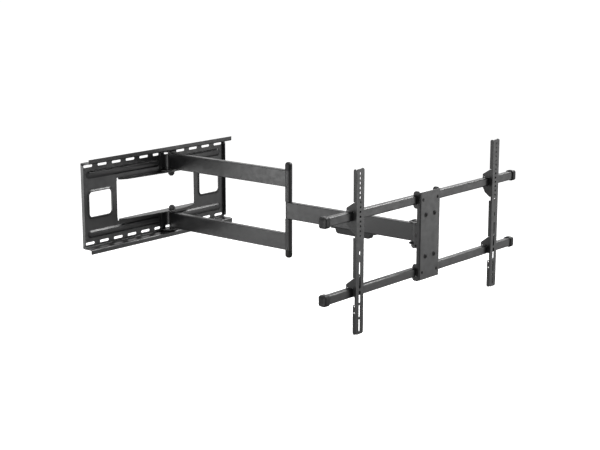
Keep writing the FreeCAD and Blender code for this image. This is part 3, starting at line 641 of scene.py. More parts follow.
def skin(shape: BMesh, sections: Sections, closed: bool) -> list[list[bmesh.types.BMVert]]:
    """Skins outlines of equal length, one after the other.

    Args:
        shape: Mesh that the faces are added to.
        sections: Pairs of (z, outline), in order.
        closed: Whether the last outline is skinned back to the first.

    Returns:
        The vertices of each outline.
    """
    rings = [[shape.verts.new((x, y, z)) for x, y in outline] for z, outline in sections]
    count = len(rings[0])
    following = rings[1:] + rings[:1] if closed else rings[1:]
    for one, two in zip(rings, following):
        for k in range(count):
            after = (k + 1) % count
            shape.faces.new((one[k], one[after], two[after], two[k]))
    return rings


def loft(shape: BMesh, sections: Sections) -> None:
    """Skins outlines one above the other and closes both ends.

    Args:
        shape: Mesh that the faces are added to.
        sections: Pairs of (z, outline), from the bottom.
    """
    rings = skin(shape, sections, False)
    shape.faces.new(rings[0][::-1])
    shape.faces.new(rings[-1])


def carve(thing: Object, tool: Object, operation: str = "DIFFERENCE") -> Object:
    """Cuts one object with another, or keeps what they share, and removes the tool.

    Args:
        thing: The object.
        tool: The cutting object.
        operation: DIFFERENCE or INTERSECT.

    Returns:
        The cut object, as a plain mesh.
    """
    change = thing.modifiers.new("carve", "BOOLEAN")
    change.operation = operation
    change.object = tool
    change.solver = "EXACT"
    settle(thing)
    bpy.data.objects.remove(tool)
    return thing


# ---------------------------------------------------------------- geometry nodes
class GeometrySheet:
    """A geometry node tree while it is being drawn up."""

    def __init__(self, name: str, inputs: dict[str, str]) -> None:
        """Starts a tree.

        Args:
            name: Name of the tree.
            inputs: Socket type of each named input.
        """
        self.tree = bpy.data.node_groups.new(name, "GeometryNodeTree")
        new_socket = self.tree.interface.new_socket
        for way in ("OUTPUT", "INPUT"):
            new_socket("Geometry", in_out=way, socket_type="NodeSocketGeometry")
        self.identifiers: dict[str, str] = {}
        for label, kind in inputs.items():
            socket = new_socket(label, in_out="INPUT", socket_type=kind)
            self.identifiers[label] = socket.identifier
        self.given = self.add("NodeGroupInput").outputs
        self.result = self.add("NodeGroupOutput")

    def add(self, kind: str, links: dict[str, Socket] | None = None,
            values: dict[str, object] | None = None, **settings: object) -> bpy.types.Node:
        """Adds a node and links its inputs.

        Args:
            kind: Blender's name for the type of node.
            links: Socket linked to each input, by name.
            values: Value of each unlinked input, by name.
            **settings: Properties of the node itself.

        Returns:
            The new node.
        """
        node = self.tree.nodes.new(kind)
        for key, value in settings.items():
            setattr(node, key, value)
        for key, value in (values or {}).items():
            node.inputs[key].default_value = value
        for key, source in (links or {}).items():
            self.tree.links.new(source, node.inputs[key])
        return node

    def close(self, geometry: Socket) -> None:
        """Ends the tree in realized geometry with the finish that its input names."""
        real = self.add("GeometryNodeRealizeInstances", {"Geometry": geometry})
        links = {"Geometry": real.outputs[0], "Material": self.given["Finish"]}
        coated = self.add("GeometryNodeSetMaterial", links)
        self.tree.links.new(coated.outputs[0], self.result.inputs["Geometry"])

    def run(self, thing: Object, values: dict[str, object]) -> Object:
        """Runs the tree on an object and keeps the result as its plain mesh.

        Args:
            thing: Object that the tree is run on.
            values: Value of each named input.

        Returns:
            The same object.
        """
        modifier = thing.modifiers.new(self.tree.name, "NODES")
        modifier.node_group = self.tree
        for label, value in values.items():
            modifier[self.identifiers[label]] = value
        return settle(thing)


class Repeater:
    """Sets copies of one template at marked places, each facing its own way."""

    def __init__(self) -> None:
        """Builds the tree."""
        self.sheet = GeometrySheet("set_at_places", {
            "Template": "NodeSocketObject", "Turn Range": "NodeSocketFloat",
            "Seed": "NodeSocketInt", "Finish": "NodeSocketMaterial",
        })
        add, given = self.sheet.add, self.sheet.given
        template = add("GeometryNodeObjectInfo", {"Object": given["Template"]})
        facing = add(
            "GeometryNodeInputNamedAttribute", values={"Name": "facing"}, data_type="FLOAT_VECTOR"
        )
        way = {"Vector": facing.outputs["Attribute"]}
        aim = add("FunctionNodeAlignRotationToVector", way, axis="Z")
        turn = add("FunctionNodeRandomValue", {"Seed": given["Seed"]}, data_type="FLOAT")
        self.sheet.tree.links.new(given["Turn Range"], turn.inputs[3])
        angle = {"Angle": turn.outputs[1]}
        spin = add("FunctionNodeAxisAngleToRotation", angle, {"Axis": Facing.UP.value})
        turns = {"Rotation": aim.outputs[0], "Rotate By": spin.outputs[0]}
        both = add("FunctionNodeRotateRotation", turns, rotation_space="LOCAL")
        copies = add("GeometryNodeInstanceOnPoints", {
            "Points": given["Geometry"], "Instance": template.outputs["Geometry"],
            "Rotation": both.outputs[0],
        })
        self.sheet.close(copies.outputs[0])

    def place(
        self, name: str, template: Object, places: Places, material: Material,
        turn: float = 0.0, seed: int = 7,
    ) -> Object:
        """Copies a template to each place.

        Args:
            name: Name of the finished piece.
            template: The template, which is removed.
            places: Seat point and facing of each copy.
            material: Finish of the copies.
            turn: Most that a copy is turned about its own axis, in degrees.
            seed: Seed of the turns.

        Returns:
            One plain mesh of all the copies.
        """
        mesh = bpy.data.meshes.new(name)
        mesh.from_pydata([at for at, _ in places], [], [])
        facing = mesh.attributes.new("facing", "FLOAT_VECTOR", "POINT")
        facing.data.foreach_set("vector", [part for _, way in places for part in way.value])
        piece = self.sheet.run(new_object(name, mesh), {
            "Template": template, "Turn Range": math.radians(turn), "Seed": seed,
            "Finish": material,
        })
        bpy.data.objects.remove(template)
        return piece


class TubeSweep:
    """Sweeps a rounded rectangle along a straight run."""

    corner_steps: int = 10

    def __init__(self) -> None:
        """Builds the tree."""
        self.sheet = GeometrySheet("rounded_tube", {
            "Start": "NodeSocketVector", "End": "NodeSocketVector",
            "Width": "NodeSocketFloat", "Height": "NodeSocketFloat",
            "Corner": "NodeSocketFloat", "Corner Steps": "NodeSocketInt",
            "Finish": "NodeSocketMaterial",
        })
        add, given = self.sheet.add, self.sheet.given
        ends = {"Start": given["Start"], "End": given["End"]}
        run = add("GeometryNodeCurvePrimitiveLine", ends)
        upright = add("GeometryNodeSetCurveNormal", {"Curve": run.outputs[0]}, mode="Z_UP")
        size = {"Width": given["Width"], "Height": given["Height"]}
        outline = add("GeometryNodeCurvePrimitiveQuadrilateral", size)
        rounded = add("GeometryNodeFilletCurve", {
            "Curve": outline.outputs[0], "Radius": given["Corner"], "Count": given["Corner Steps"],
        }, mode="POLY")
        curves = {"Curve": upright.outputs[0], "Profile Curve": rounded.outputs[0]}
        tube = add("GeometryNodeCurveToMesh", curves, {"Fill Caps": True})
        self.sheet.close(tube.outputs[0])

    def sweep(
        self, name: str, start: Point, end: Point, width: float, height: float, corner: float,
        material: Material,
    ) -> Object:
        """Makes one tube.

        Args:
            name: Name of the finished piece.
            start: Centre of one end.
            end: Centre of the other end.
            width: Size across, level.
            height: Size upwards.
            corner: Corner radius.
            material: Finish of the tube.

        Returns:
            The tube as a plain mesh.
        """
        piece = self.sheet.run(new_object(name, bpy.data.meshes.new(name)), {
            "Start": start, "End": end, "Width": width, "Height": height,
            "Corner": corner, "Corner Steps": self.corner_steps, "Finish": material,
        })
        shade(piece.data, 40.0)
        piece.modifiers.new("normals", "WEIGHTED_NORMAL").keep_sharp = True
        return settle(piece)


# ---------------------------------------------------------------- fasteners
@dataclass(frozen=True)
class DomedBolt:
    """Bolt or screw with a low domed head, its seat at z 0 and its shank below.

    The tip's chamfer is a share of the shank's radius, and the head's straight skirt a share of
    its height.
    """

    head_radius: float
    head_height: float
    shank_radius: float
    shank_length: float
    drive: Drive = Drive.HEX_SOCKET
    drive_size: float = 0.004
    drive_depth: float = 0.0018
    washer_radius: float = 0.0
    washer_height: float = 0.0
    tip_chamfer: float = 0.12
    skirt_share: float = 0.18
    edge_width: float = 0.00012
    smooth_angle: float = 32.0

    def template(self) -> Object:
        """Builds one bolt.

        Returns:
            The bolt as a plain mesh.
        """
        shank, end = self.shank_radius, -self.shank_length
        chamfer = self.tip_chamfer * shank
        profile = [(0.0, end), (shank - chamfer, end), (shank, end + chamfer), (shank, 0.0)]
        base = 0.0
        if self.washer_radius:
            base = self.washer_height
            profile += [(self.washer_radius, 0.0), (self.washer_radius, base)]
        else:
            profile += [(self.head_radius - 0.0002, 0.0)]
        skirt = self.skirt_share * self.head_height
        crown = dome(self.head_radius, self.head_height - skirt)
        profile += [(self.head_radius, base + 0.0001)]
        profile += [(radius, z + base + skirt) for radius, z in crown]
        shape = bmesh.new()
        lathe(shape, profile)
        bolt = mesh_object("bolt", shape, self.smooth_angle)
        carve(bolt, self.recess(base + self.head_height))
        shade(bolt.data, self.smooth_angle)
        return soften(bolt, self.edge_width, 35.0)

    def recess(self, top: float) -> Object:
        """Builds the tool that cuts the drive recess.

        Args:
            top: Level of the top of the head, which the recess goes down from.

        Returns:
            The cutting tool as a plain mesh.
        """
        shape = bmesh.new()
        low, high = top - self.drive_depth, top + 0.002
        if self.drive is Drive.HEX_SOCKET:
            prism(shape, hexagon(self.drive_size), low, high)
            return mesh_object("recess", shape)
        half, arm = self.drive_size / 2, self.drive_size / 8
        quarter = [(half, arm), (arm, arm), (arm, half)]
        cross = [
            *quarter, *[(-x, y) for x, y in quarter[::-1]],
            *[(-x, -y) for x, y in quarter], *[(x, -y) for x, y in quarter[::-1]],
        ]
        ends = ((low, 0.45), (high, 1.6))
        loft(shape, [(z, [(scale * x, scale * y) for x, y in cross]) for z, scale in ends])
        return mesh_object("recess", shape)


@dataclass(frozen=True)
class HexHead:
    """Chamfered hexagon: a bolt's head with its shank below, or a nut with a bore."""

    flats: float
    height: float
    bore_radius: float = 0.0
    shank_radius: float = 0.0
    shank_length: float = 0.0

    def template(self) -> Object:
        """Builds one head or nut, with its seat at z 0.

        Returns:
            The hexagon as a plain mesh.
        """
        corner = self.flats / math.sqrt(3)
        reach, drop = corner * 1.02, (corner - self.flats / 2) * 0.62
        envelope = bmesh.new()
        profile = [
            (0.0, 0.0), (self.flats / 2 * 0.99, 0.0), (reach, drop), (reach, self.height - drop),
            (self.flats / 2 * 0.96, self.height), (0.0, self.height),
        ]
        lathe(envelope, profile, 72)
        body = bmesh.new()
        prism(body, hexagon(self.flats), 0.0, self.height)
        block = carve(mesh_object("block", body), mesh_object("envelope", envelope), "INTERSECT")
        if self.bore_radius:
            bore, mouth = bmesh.new(), 0.0006
            lathe(bore, [
                (0.0, -0.001), (self.bore_radius, -0.001), (self.bore_radius, self.height - mouth),
                (self.bore_radius + 2 * mouth, self.height + mouth), (0.0, self.height + mouth),
            ])
            carve(block, mesh_object("bore", bore))
        shade(block.data, 25.0)
        soften(block, 0.00015, 28.0)
        if self.shank_length:
            self.add_shank(block)
        return block

    def add_shank(self, block: Object) -> None:
        """Joins the shank to the underside of the head.

        Args:
            block: The finished head.
        """
        shape = bmesh.new()
        shape.from_mesh(block.data)
        radius, end = self.shank_radius, -self.shank_length
        chamfer = 0.15 * radius
        lathe(shape, [
            (0.0, end), (radius - chamfer, end), (radius, end + chamfer), (radius, 0.0), (0.0, 0.0),
        ], 40)
        shape.to_mesh(block.data)
        shape.free()
        shade(block.data, 25.0)


@dataclass(frozen=True)
class Ring:
    """Ring with rounded outer edges, such as a lock nut's collar, its seat at z 0."""

    radius: float
    bore: float
    height: float
    rounding: float

    def template(self) -> Object:
        """Builds one ring.

        Returns:
            The ring as a plain mesh.
        """
        shape = bmesh.new()
        centre = (self.radius - self.rounding, self.height - self.rounding)
        edge = arc(centre, self.rounding, 0.0, 90.0, 6)
        foot = (self.bore, 0.0)
        lathe(shape, [foot, (self.radius, 0.0), *edge, (self.bore, self.height), foot], 64)
        return mesh_object("ring", shape, 38.0)


PIVOT_NUT = HexHead(flats=0.018, height=0.008, bore_radius=0.0061)
PIVOT_COLLAR = Ring(radius=0.0076, bore=0.0061, height=0.003, rounding=0.0012)


# ---------------------------------------------------------------- sub-assemblies
def middle(node: str) -> Point:
    """Middle of a frame node's box.

    Args:
        node: Name of the frame's node.

    Returns:
        The middle's x, y and z.
    """
    low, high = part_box(node)
    return (low.x + high.x) / 2, (low.y + high.y) / 2, (low.z + high.z) / 2


def front_corners(node: str, edge: float, height: float) -> Places:
    """Seats of four fasteners that face the front, at the corners of their node's box.

    Args:
        node: Frame node of the fasteners.
        edge: Radius of one fastener, so its axis is that far inside the box.
        height: Height of its head above its seat.

    Returns:
        Seat point and facing of each.
    """
    low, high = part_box(node)
    across, up = (low.x + edge, high.x - edge), (low.z + edge, high.z - edge)
    return [((x, low.y + height, z), Facing.FRONT) for x in across for z in up]


def ride(piece: Object, body: str, nodes: Iterable[str]) -> None:
    """Fixes a finished piece to its body and lets it stand for the frame's nodes.

    Args:
        piece: The finished piece.
        body: Body that it moves with.
        nodes: Frame nodes that it stands for.
    """
    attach(piece, body)
    names = list(nodes)
    if names:
        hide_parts(*names)
    LOG.info("%s: %d faces on %s", piece.name, len(piece.data.polygons), body)


@dataclass
class SubAssembly:
    """What every sub-assembly is given: the finishes and the tool that sets fasteners."""

    finishes: Finishes
    repeater: Repeater

    def dress(self, material: Material, *nodes: str) -> None:
        """Gives nodes of the frame their finish."""
        for node in nodes:
            self.finishes.dress(node, material)

    def fasten(
        self, name: str, template: Object, places: Places, body: str, node: str, seed: int,
        turn: float = 60.0,
    ) -> None:
        """Sets plated fasteners at their places and fixes them to their body.

        Args:
            name: Name of the finished piece.
            template: One fastener, which is removed.
            places: Seat point and facing of each copy.
            body: Body that they move with.
            node: Frame node that they stand for.
            seed: Seed of their turns about their own axes.
            turn: Most that one is turned, in degrees.
        """
        piece = self.repeater.place(name, template, places, self.finishes.steel, turn, seed)
        ride(piece, body, [node])

    def collar(self, name: str, template: Object, places: Places, body: str) -> None:
        """Sets lock nuts' nylon collars, which stand for no node of the frame."""
        piece = self.repeater.place(name, template, places, self.finishes.nylon)
        ride(piece, body, [])


@dataclass(frozen=True)
class PressedForms:
    """Sloping sides of the wall plate's pressed ribs and of the rims round its side windows."""

    ribs: tuple[Pair, ...] = ((-0.298, 0.008), (0.088, 0.298))
    rib_level: float = 0.095
    rib_width: float = 0.014
    rib_section: Profile = (
        (0.0056, 0.0023), (0.0056, 0.0025), (0.0049, 0.0028),
        (0.0008, 0.0059), (0.0001, 0.00655), (-0.0008, 0.0068),
    )
    window: Pair = (0.1995, 0.2945)
    window_height: float = 0.080
    window_corner: float = 0.012
    rim_section: Profile = (
        (0.0066, 0.0023), (0.0066, 0.0025), (0.0060, 0.0028), (0.0034, 0.0052),
        (0.0027, 0.0056), (0.0002, 0.0057), (0.0002, 0.0023),
    )

    def outlines(self, size: Pair, corner: float, section: Profile) -> Sections:
        """Outlines of one form at each step of its section.

        Args:
            size: Length and height of the form itself.
            corner: Its corner radius.
            section: Pairs of (offset, height) along its side.

        Returns:
            Pairs of (height, outline) for a loft.
        """
        wide, tall = size
        return [
            (height, rounded_rectangle(wide + 2 * out, tall + 2 * out, corner + out))
            for out, height in section
        ]

    def set_up(self, shape: BMesh, x: float, z: float) -> None:
        """Turns a lofted form to face the room and moves it to its place on the plate."""
        bmesh.ops.transform(shape, matrix=Matrix.Rotation(math.pi / 2, 4, "X"), verts=shape.verts)
        bmesh.ops.translate(shape, verts=shape.verts, vec=(x, 0.0, z))

    def build(self, finish: Material, body: str, slot: str) -> None:
        """Makes four ribs and two rims and fixes them to the plate's body.

        Args:
            finish: Material of the plate.
            body: Body that they move with.
            slot: Name of the record's material slot; not used.
        """
        for side, (low, high) in zip(("left", "right"), self.ribs):
            for row, z in (("upper", self.rib_level), ("lower", -self.rib_level)):
                shape = bmesh.new()
                size = (high - low, self.rib_width)
                loft(shape, self.outlines(size, self.rib_width / 2, self.rib_section))
                self.set_up(shape, (low + high) / 2, z)
                self.fix(mesh_object(f"plate_rib_{row}_{side}", shape, 50.0), finish, body)
        low, high = self.window
        for side, sign in (("left", -1), ("right", 1)):
            shape = bmesh.new()
            size = (high - low, self.window_height)
            skin(shape, self.outlines(size, self.window_corner, self.rim_section), True)
            self.set_up(shape, sign * (low + high) / 2, 0.0)
            self.fix(mesh_object(f"plate_rim_{side}", shape, 50.0), finish, body)

    def fix(self, piece: Object, finish: Material, body: str) -> None:
        """Gives a form its finish and fixes it to its body."""
        piece.data.materials.append(finish)
        ride(piece, body, [])


@dataclass
class WallSide(SubAssembly):
    """Wall plate, shoulder brackets and their pivot bolts."""

    body: str = "wall"
    bolt: DomedBolt = DomedBolt(
        head_radius=0.011, head_height=0.0027, shank_radius=0.006, shank_length=0.0824,
        drive_size=0.006, drive_depth=0.0016,
    )
    nut: HexHead = PIVOT_NUT
    ring: Ring = PIVOT_COLLAR
    forms: PressedForms = PressedForms()

    def build(self) -> None:
        """Dresses the sheet metal and makes the pressed forms, pivot bolts and nuts."""
        coat = self.finishes.coat
        self.dress(coat, "wall_plate", "shoulder_bracket_upper", "shoulder_bracket_lower")
        self.forms.build(coat, self.body, "powder_coat")
        self.dress(self.finishes.steel, "shoulder_washers")
        x, y, _ = middle("shoulder_bolts")
        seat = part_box("shoulder_bolts")[1].z - self.bolt.head_height
        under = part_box("shoulder_nuts")[1].z
        places = [((x, y, seat), Facing.UP), ((x, y, -seat), Facing.DOWN)]
        self.fasten("shoulder_pivot_bolts", self.bolt.template(), places, self.body,
                    "shoulder_bolts", 3)
        places = [((x, y, under), Facing.DOWN), ((x, y, -under), Facing.UP)]
        self.fasten("shoulder_pivot_nuts", self.nut.template(), places, self.body,
                    "shoulder_nuts", 4)
        top = under - self.nut.height
        places = [((x, y, top), Facing.DOWN), ((x, y, -top), Facing.UP)]
        self.collar("shoulder_nut_collars", self.ring.template(), places, self.body)


@dataclass
class LowerArm(SubAssembly):
    """Two parallel arm tubes from the wall to the elbow post."""

    body: str = "lower_arm"
    post_radius: float = 0.01125
    pin_radius: float = 0.005
    knuckle_height: float = 0.052
    post_gap: float = 0.0015
    seam: float = 0.0005
    cap_wall: float = 0.0016
    cap_top: float = 0.009
    cap_inner_step: float = 0.004
    cap_rounding: float = 0.0095
    segments: int = 96

    def build(self) -> None:
        """Dresses the tubes and turns the parts of the elbow post."""
        coat = self.finishes.coat
        self.dress(coat, "lower_arm_tube_upper", "lower_arm_tube_lower", "shoulder_sleeves")
        self.dress(self.finishes.steel, "elbow_pin", "elbow_nuts", "elbow_nut_washers")
        self.dress(self.finishes.nylon, "shoulder_bushes")
        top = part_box("elbow_knuckles")[1].z
        knuckle = self.sleeve_profile(top - self.knuckle_height, top)
        self.turn("elbow_post_knuckles", knuckle, coat, "powder_coat", "elbow_knuckles")
        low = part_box("upper_arm_tube")[1].z + self.post_gap
        spacer = self.sleeve_profile(low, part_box("elbow_spacers")[1].z)
        self.turn("elbow_post_spacers", spacer, coat, "powder_coat", "elbow_spacers")
        cap = self.cap_profile(top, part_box("elbow_caps")[1].z)
        self.turn("elbow_post_caps", cap, self.finishes.plastic, "moulded_plastic", "elbow_caps")

    def sleeve_profile(self, low: float, high: float) -> list[Pair]:
        """Section of a tube with chamfered outer ends.

        Args:
            low: Level of its lower end.
            high: Level of its upper end.

        Returns:
            Points of (radius, z), back to the first.
        """
        pin, post, edge = self.pin_radius, self.post_radius, self.seam
        return [
            (pin, low), (post - edge, low), (post, low + edge),
            (post, high - edge), (post - edge, high), (pin, high), (pin, low),
        ]

    def cap_profile(self, low: float, high: float) -> list[Pair]:
        """Section of a hollow domed cap.

        Args:
            low: Level of its open end.
            high: Level of its top.

        Returns:
            Points of (radius, z), back to the first.
        """
        post, edge, rounding = self.post_radius, self.seam, self.cap_rounding
        inner, roof = post - self.cap_wall, high - self.cap_top
        crown = arc((post - rounding, high - rounding), rounding, 0.0, 90.0, 14)
        step = self.cap_inner_step
        return [
            (inner, low), (post - edge, low), (post, low + edge), *crown, (0.0, high),
            (0.0, roof), (inner - step, roof), (inner, roof - step), (inner, low),
        ]

    def turn(self, name: str, profile: Profile, material: Material, slot: str, node: str) -> None:
        """Turns a section about the elbow's axis, with its mirror image below.

        Args:
            name: Name of the finished piece.
            profile: Section of (radius, z).
            material: Its finish.
            slot: Name of the record's material slot; not used.
            node: Frame node that it stands for.
        """
        x, y, _ = middle("elbow_pin")
        shape = bmesh.new()
        lathe(shape, profile, self.segments)
        lathe(shape, [(radius, -z) for radius, z in profile], self.segments)
        bmesh.ops.translate(shape, verts=shape.verts, vec=(x, y, 0.0))
        piece = mesh_object(name, shape, 30.0)
        piece.data.materials.append(material)
        ride(piece, self.body, [node])


@dataclass
class UpperArm(SubAssembly):
    """Single arm tube from the elbow to the head, with the cable cover below it."""

    body: str = "upper_arm"
    screw: DomedBolt = DomedBolt(
        head_radius=0.0034, head_height=0.002, shank_radius=0.0017, shank_length=0.007,
        drive=Drive.CROSS, drive_size=0.0038, drive_depth=0.0012,
    )

    def build(self) -> None:
        """Dresses the arm and makes the cover's screws."""
        self.dress(self.finishes.coat, "upper_arm_tube", "elbow_sleeve", "head_sleeve")
        self.dress(self.finishes.nylon, "elbow_bushes", "head_bushes")
        self.dress(self.finishes.plastic, "cable_cover")
        low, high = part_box("cable_cover_screws")
        x, edge = (low.x + high.x) / 2, self.screw.head_radius
        seat = low.z + self.screw.head_height
        places = [((x, y, seat), Facing.DOWN) for y in (low.y + edge, high.y - edge)]
        self.fasten("cable_cover_fixings", self.screw.template(), places, self.body,
                    "cable_cover_screws", 5, 90.0)


@dataclass
class Head(SubAssembly):
    """Swivel yoke on the arm's end, and the tilting channel that it carries."""

    swivel: str = "head_swivel"
    tilting: str = "tilt_head"
    bolt: DomedBolt = DomedBolt(
        head_radius=0.011, head_height=0.004, shank_radius=0.006, shank_length=0.0804,
        drive_size=0.006, drive_depth=0.0022,
    )
    nut: HexHead = PIVOT_NUT
    ring: Ring = PIVOT_COLLAR
    tilt_bolt: HexHead = HexHead(
        flats=0.013, height=0.0053, shank_radius=0.004, shank_length=0.0738
    )
    tilt_nut: HexHead = HexHead(flats=0.013, height=0.0065, bore_radius=0.00405)
    level_bolt: DomedBolt = DomedBolt(
        head_radius=0.0054, head_height=0.0024, shank_radius=0.003, shank_length=0.0108,
        drive_size=0.004, drive_depth=0.0016, washer_radius=0.007, washer_height=0.0008,
    )

    def build(self) -> None:
        """Dresses the yoke and channel, and makes their bolts and nuts."""
        self.dress(self.finishes.coat, "head_yoke", "tilt_channel")
        self.dress(self.finishes.steel, "head_washers", "tilt_washers")
        self.swivel_pivot()
        self.tilt_pivot()
        bolt = self.level_bolt
        places = front_corners("level_bolts", bolt.washer_radius,
                               bolt.head_height + bolt.washer_height)
        self.fasten("level_adjusting_bolts", bolt.template(), places, self.tilting,
                    "level_bolts", 11)

    def swivel_pivot(self) -> None:
        """Makes the upright pivot bolt and its lock nut."""
        x, y, _ = middle("head_bolt")
        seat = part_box("head_bolt")[1].z - self.bolt.head_height
        self.fasten("head_pivot_bolt", self.bolt.template(), [((x, y, seat), Facing.UP)],
                    self.swivel, "head_bolt", 6)
        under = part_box("head_nut")[1].z
        self.fasten("head_pivot_nut", self.nut.template(), [((x, y, under), Facing.DOWN)],
                    self.swivel, "head_nut", 8)
        at = (x, y, under - self.nut.height)
        self.collar("head_nut_collar", self.ring.template(), [(at, Facing.DOWN)], self.swivel)

    def tilt_pivot(self) -> None:
        """Makes the level tilt bolt and its nut."""
        _, y, z = middle("tilt_bolt")
        at = (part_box("tilt_bolt")[0].x + self.tilt_bolt.height, y, z)
        self.fasten("tilt_pivot_bolt", self.tilt_bolt.template(), [(at, Facing.LEFT)],
                    self.swivel, "tilt_bolt", 9)
        at = (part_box("tilt_nut")[0].x, y, z)
        self.fasten("tilt_pivot_nut", self.tilt_nut.template(), [(at, Facing.RIGHT)],
                    self.swivel, "tilt_nut", 10)


@dataclass
class ScreenFrame(SubAssembly):
    """Centre plate and the two rails that the screen brackets hang on."""

    tubes: TubeSweep
    body: str = "rail_frame"
    rail_corner: float = 0.004
    cap_corner: float = 0.007
    cap_length: float = 0.018
    cap_sleeve: float = 0.014
    cap_edge: float = 0.003
    screw: DomedBolt = DomedBolt(
        head_radius=0.005, head_height=0.002, shank_radius=0.0025, shank_length=0.0178,
        drive=Drive.CROSS, drive_size=0.005, drive_depth=0.0014,
    )

    def build(self) -> None:
        """Dresses the centre plate and makes the rails, their caps and screws."""
        self.dress(self.finishes.coat, "centre_plate")
        self.dress(self.finishes.steel, "corner_spacers")
        for node in ("rail_upper", "rail_lower"):
            low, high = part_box(node)
            _, y, z = middle(node)
            tube = self.tubes.sweep(
                f"{node}_tube", (low.x, y, z), (high.x, y, z), high.y - low.y, high.z - low.z,
                self.rail_corner, self.finishes.coat,
            )
            ride(tube, self.body, [node])
        self.caps()
        places = front_corners("corner_screws", self.screw.head_radius, self.screw.head_height)
        self.fasten("rail_corner_screws", self.screw.template(), places, self.body,
                    "corner_screws", 12, 90.0)

    def caps(self) -> None:
        """Makes the moulded caps on the rails' ends."""
        low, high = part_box("rail_end_caps")
        rail_low, rail_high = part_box("rail_upper")
        depth = high.y - low.y
        rise = rail_high.z - rail_low.z + depth - (rail_high.y - rail_low.y)
        y, z = (low.y + high.y) / 2, (rail_low.z + rail_high.z) / 2
        ends = (
            (rail_low.x + self.cap_sleeve, Facing.LEFT),
            (rail_high.x - self.cap_sleeve, Facing.RIGHT),
        )
        places = [((x, y, level), facing) for x, facing in ends for level in (-z, z)]
        template = self.cap_template(depth, rise)
        caps = self.repeater.place("rail_end_covers", template, places, self.finishes.plastic)
        ride(caps, self.body, ["rail_end_caps"])

    def cap_template(self, depth: float, rise: float) -> Object:
        """Builds one cap that faces up, its lip at z 0.

        Args:
            depth: Size from front to back.
            rise: Size upwards.

        Returns:
            The cap as a plain mesh.
        """
        length, edge = self.cap_length, self.cap_edge
        steps = [(0.0, 0.0004), (0.0004, 0.0), (length - edge, 0.0)]
        for turn in (0.4, 0.8, 1.2, math.pi / 2):
            steps.append((length - edge + edge * math.sin(turn), edge * (1 - math.cos(turn))))
        steps += [(length, 0.0046), (length - 0.0006, 0.0053), (length - 0.0006, 0.0095)]
        sections = []
        for z, inset in steps:
            radius = max(0.0008, self.cap_corner - inset * 0.9)
            outline = rounded_rectangle(rise - 2 * inset, depth - 2 * inset, radius)
            sections.append((z, outline))
        shape = bmesh.new()
        loft(shape, sections)
        return mesh_object("cap", shape, 50.0)


@dataclass
class ScreenBrackets(SubAssembly):
    """The two hook-on brackets that are screwed to the television."""

    def build(self) -> None:
        """Dresses both brackets."""
        self.dress(self.finishes.coat, "tv_bracket_left", "tv_bracket_right")


# ---------------------------------------------------------------- studio
@dataclass(frozen=True)
class Softbox:
    """One rectangular soft light, with its width and height, and its power in watts."""

    name: str
    at: Point
    target: Point
    size: Pair
    power: float

    def hang(self) -> None:
        """Hangs the light and aims it at its target."""
        data = bpy.data.lights.new(self.name, "AREA")
        data.shape = "RECTANGLE"
        data.size, data.size_y = self.size
        data.energy = self.power
        light = bpy.data.objects.new(self.name, data)
        light.location = self.at
        light.visible_camera = False
        light.rotation_mode = "QUATERNION"
        ahead = Vector(self.target) - Vector(self.at)
        light.rotation_quaternion = ahead.to_track_quat("-Z", "Y")
        bpy.context.scene.collection.objects.link(light)


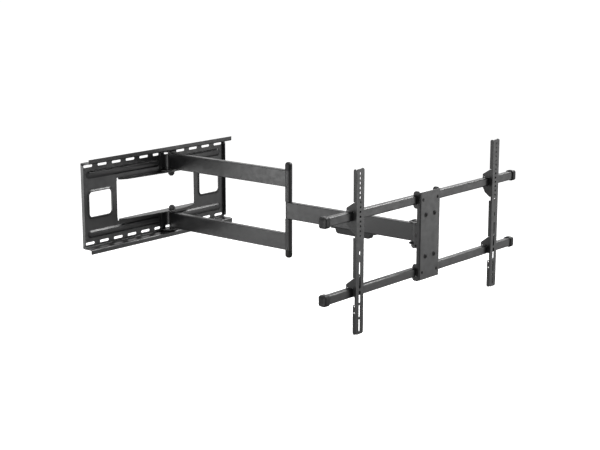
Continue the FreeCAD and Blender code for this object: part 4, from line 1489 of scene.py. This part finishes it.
@dataclass
class Studio:
    """Pale floor, soft lights and the camera."""

    floor_level: float = -0.75
    floor_size: float = 240.0
    camera_at: Point = (-3.15699, -3.27518, 0.86976)
    yaw: float = 49.93
    pitch: float = 12.26
    lens: float = 83.85
    world_strength: float = 0.35
    lights: tuple[Softbox, ...] = (
        Softbox("right_front", (2.5, -3.13, -0.12), (-0.2, -0.83, -0.1), (1.6, 1.6), 14.5),
        Softbox("left_back", (-1.97, 1.4, 0.1), (0.13, -0.35, 0.0), (1.1, 1.6), 21.0),
        Softbox("left_strip", (-2.6, -1.05, -0.1), (0.0, -0.55, 0.0), (0.2, 1.8), 20.0),
        Softbox("right_back", (3.3, 1.9, 1.15), (0.2, -0.8, 0.1), (3.0, 1.1), 14.0),
        Softbox("right_high", (2.05, -1.25, 2.1), (0.0, -0.7, 0.0), (2.6, 0.8), 95.0),
        Softbox("overhead", (0.2, -0.4, 3.0), (0.0, -0.6, 0.0), (2.4, 2.4), 30.0),
    )

    def build(self) -> None:
        """Builds the floor, the lights and the camera."""
        self.floor()
        self.world()
        for light in self.lights:
            light.hang()
        self.camera()
        bpy.context.scene.view_settings.view_transform = "Standard"
        LOG.info("studio ready")

    def floor(self) -> None:
        """Lays the floor below the mount."""
        shape = bmesh.new()
        bmesh.ops.create_grid(shape, x_segments=2, y_segments=2, size=self.floor_size / 2)
        bmesh.ops.translate(shape, verts=shape.verts, vec=(0.0, 0.0, self.floor_level))
        mesh = bpy.data.meshes.new("studio_floor")
        shape.to_mesh(mesh)
        shape.free()
        floor = new_object("studio_floor", mesh)
        floor.data.materials.append(PaleFloor().build())
        floor.visible_glossy = False
        floor.visible_diffuse = False

    def world(self) -> None:
        """Surrounds the set with even light that looks white itself."""
        world = bpy.data.worlds.new("studio_white")
        world.use_nodes = True
        nodes, links = world.node_tree.nodes, world.node_tree.links
        background = nodes["Background"]
        background.inputs["Color"].default_value = WHITE
        seen = nodes.new("ShaderNodeLightPath")
        strength = nodes.new("ShaderNodeMath")
        strength.operation = "MULTIPLY_ADD"
        strength.inputs[1].default_value = 1.0 - self.world_strength
        strength.inputs[2].default_value = self.world_strength
        links.new(seen.outputs["Is Camera Ray"], strength.inputs[0])
        links.new(strength.outputs[0], background.inputs["Strength"])
        bpy.context.scene.world = world

    def camera(self) -> None:
        """Sets the camera and its lens."""
        data = bpy.data.cameras.new("camera")
        data.lens = self.lens
        data.sensor_width = 36.0
        data.clip_end = 100.0
        camera = bpy.data.objects.new("camera", data)
        yaw, pitch = math.radians(self.yaw), math.radians(self.pitch)
        level = math.cos(pitch)
        ahead = Vector((math.sin(yaw) * level, math.cos(yaw) * level, -math.sin(pitch)))
        camera.location = self.camera_at
        camera.rotation_mode = "QUATERNION"
        camera.rotation_quaternion = ahead.to_track_quat("-Z", "Y")
        bpy.context.scene.collection.objects.link(camera)
        bpy.context.scene.camera = camera


def main() -> None:
    """Builds the mount's looks, one sub-assembly after another."""
    logging.basicConfig(level=logging.INFO, format="%(message)s")
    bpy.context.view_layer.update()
    finishes = Finishes()
    repeater = Repeater()
    WallSide(finishes, repeater).build()
    LowerArm(finishes, repeater).build()
    UpperArm(finishes, repeater).build()
    Head(finishes, repeater).build()
    ScreenFrame(finishes, repeater, TubeSweep()).build()
    ScreenBrackets(finishes, repeater).build()
    Studio().build()


if __name__ == "__main__":
    main()
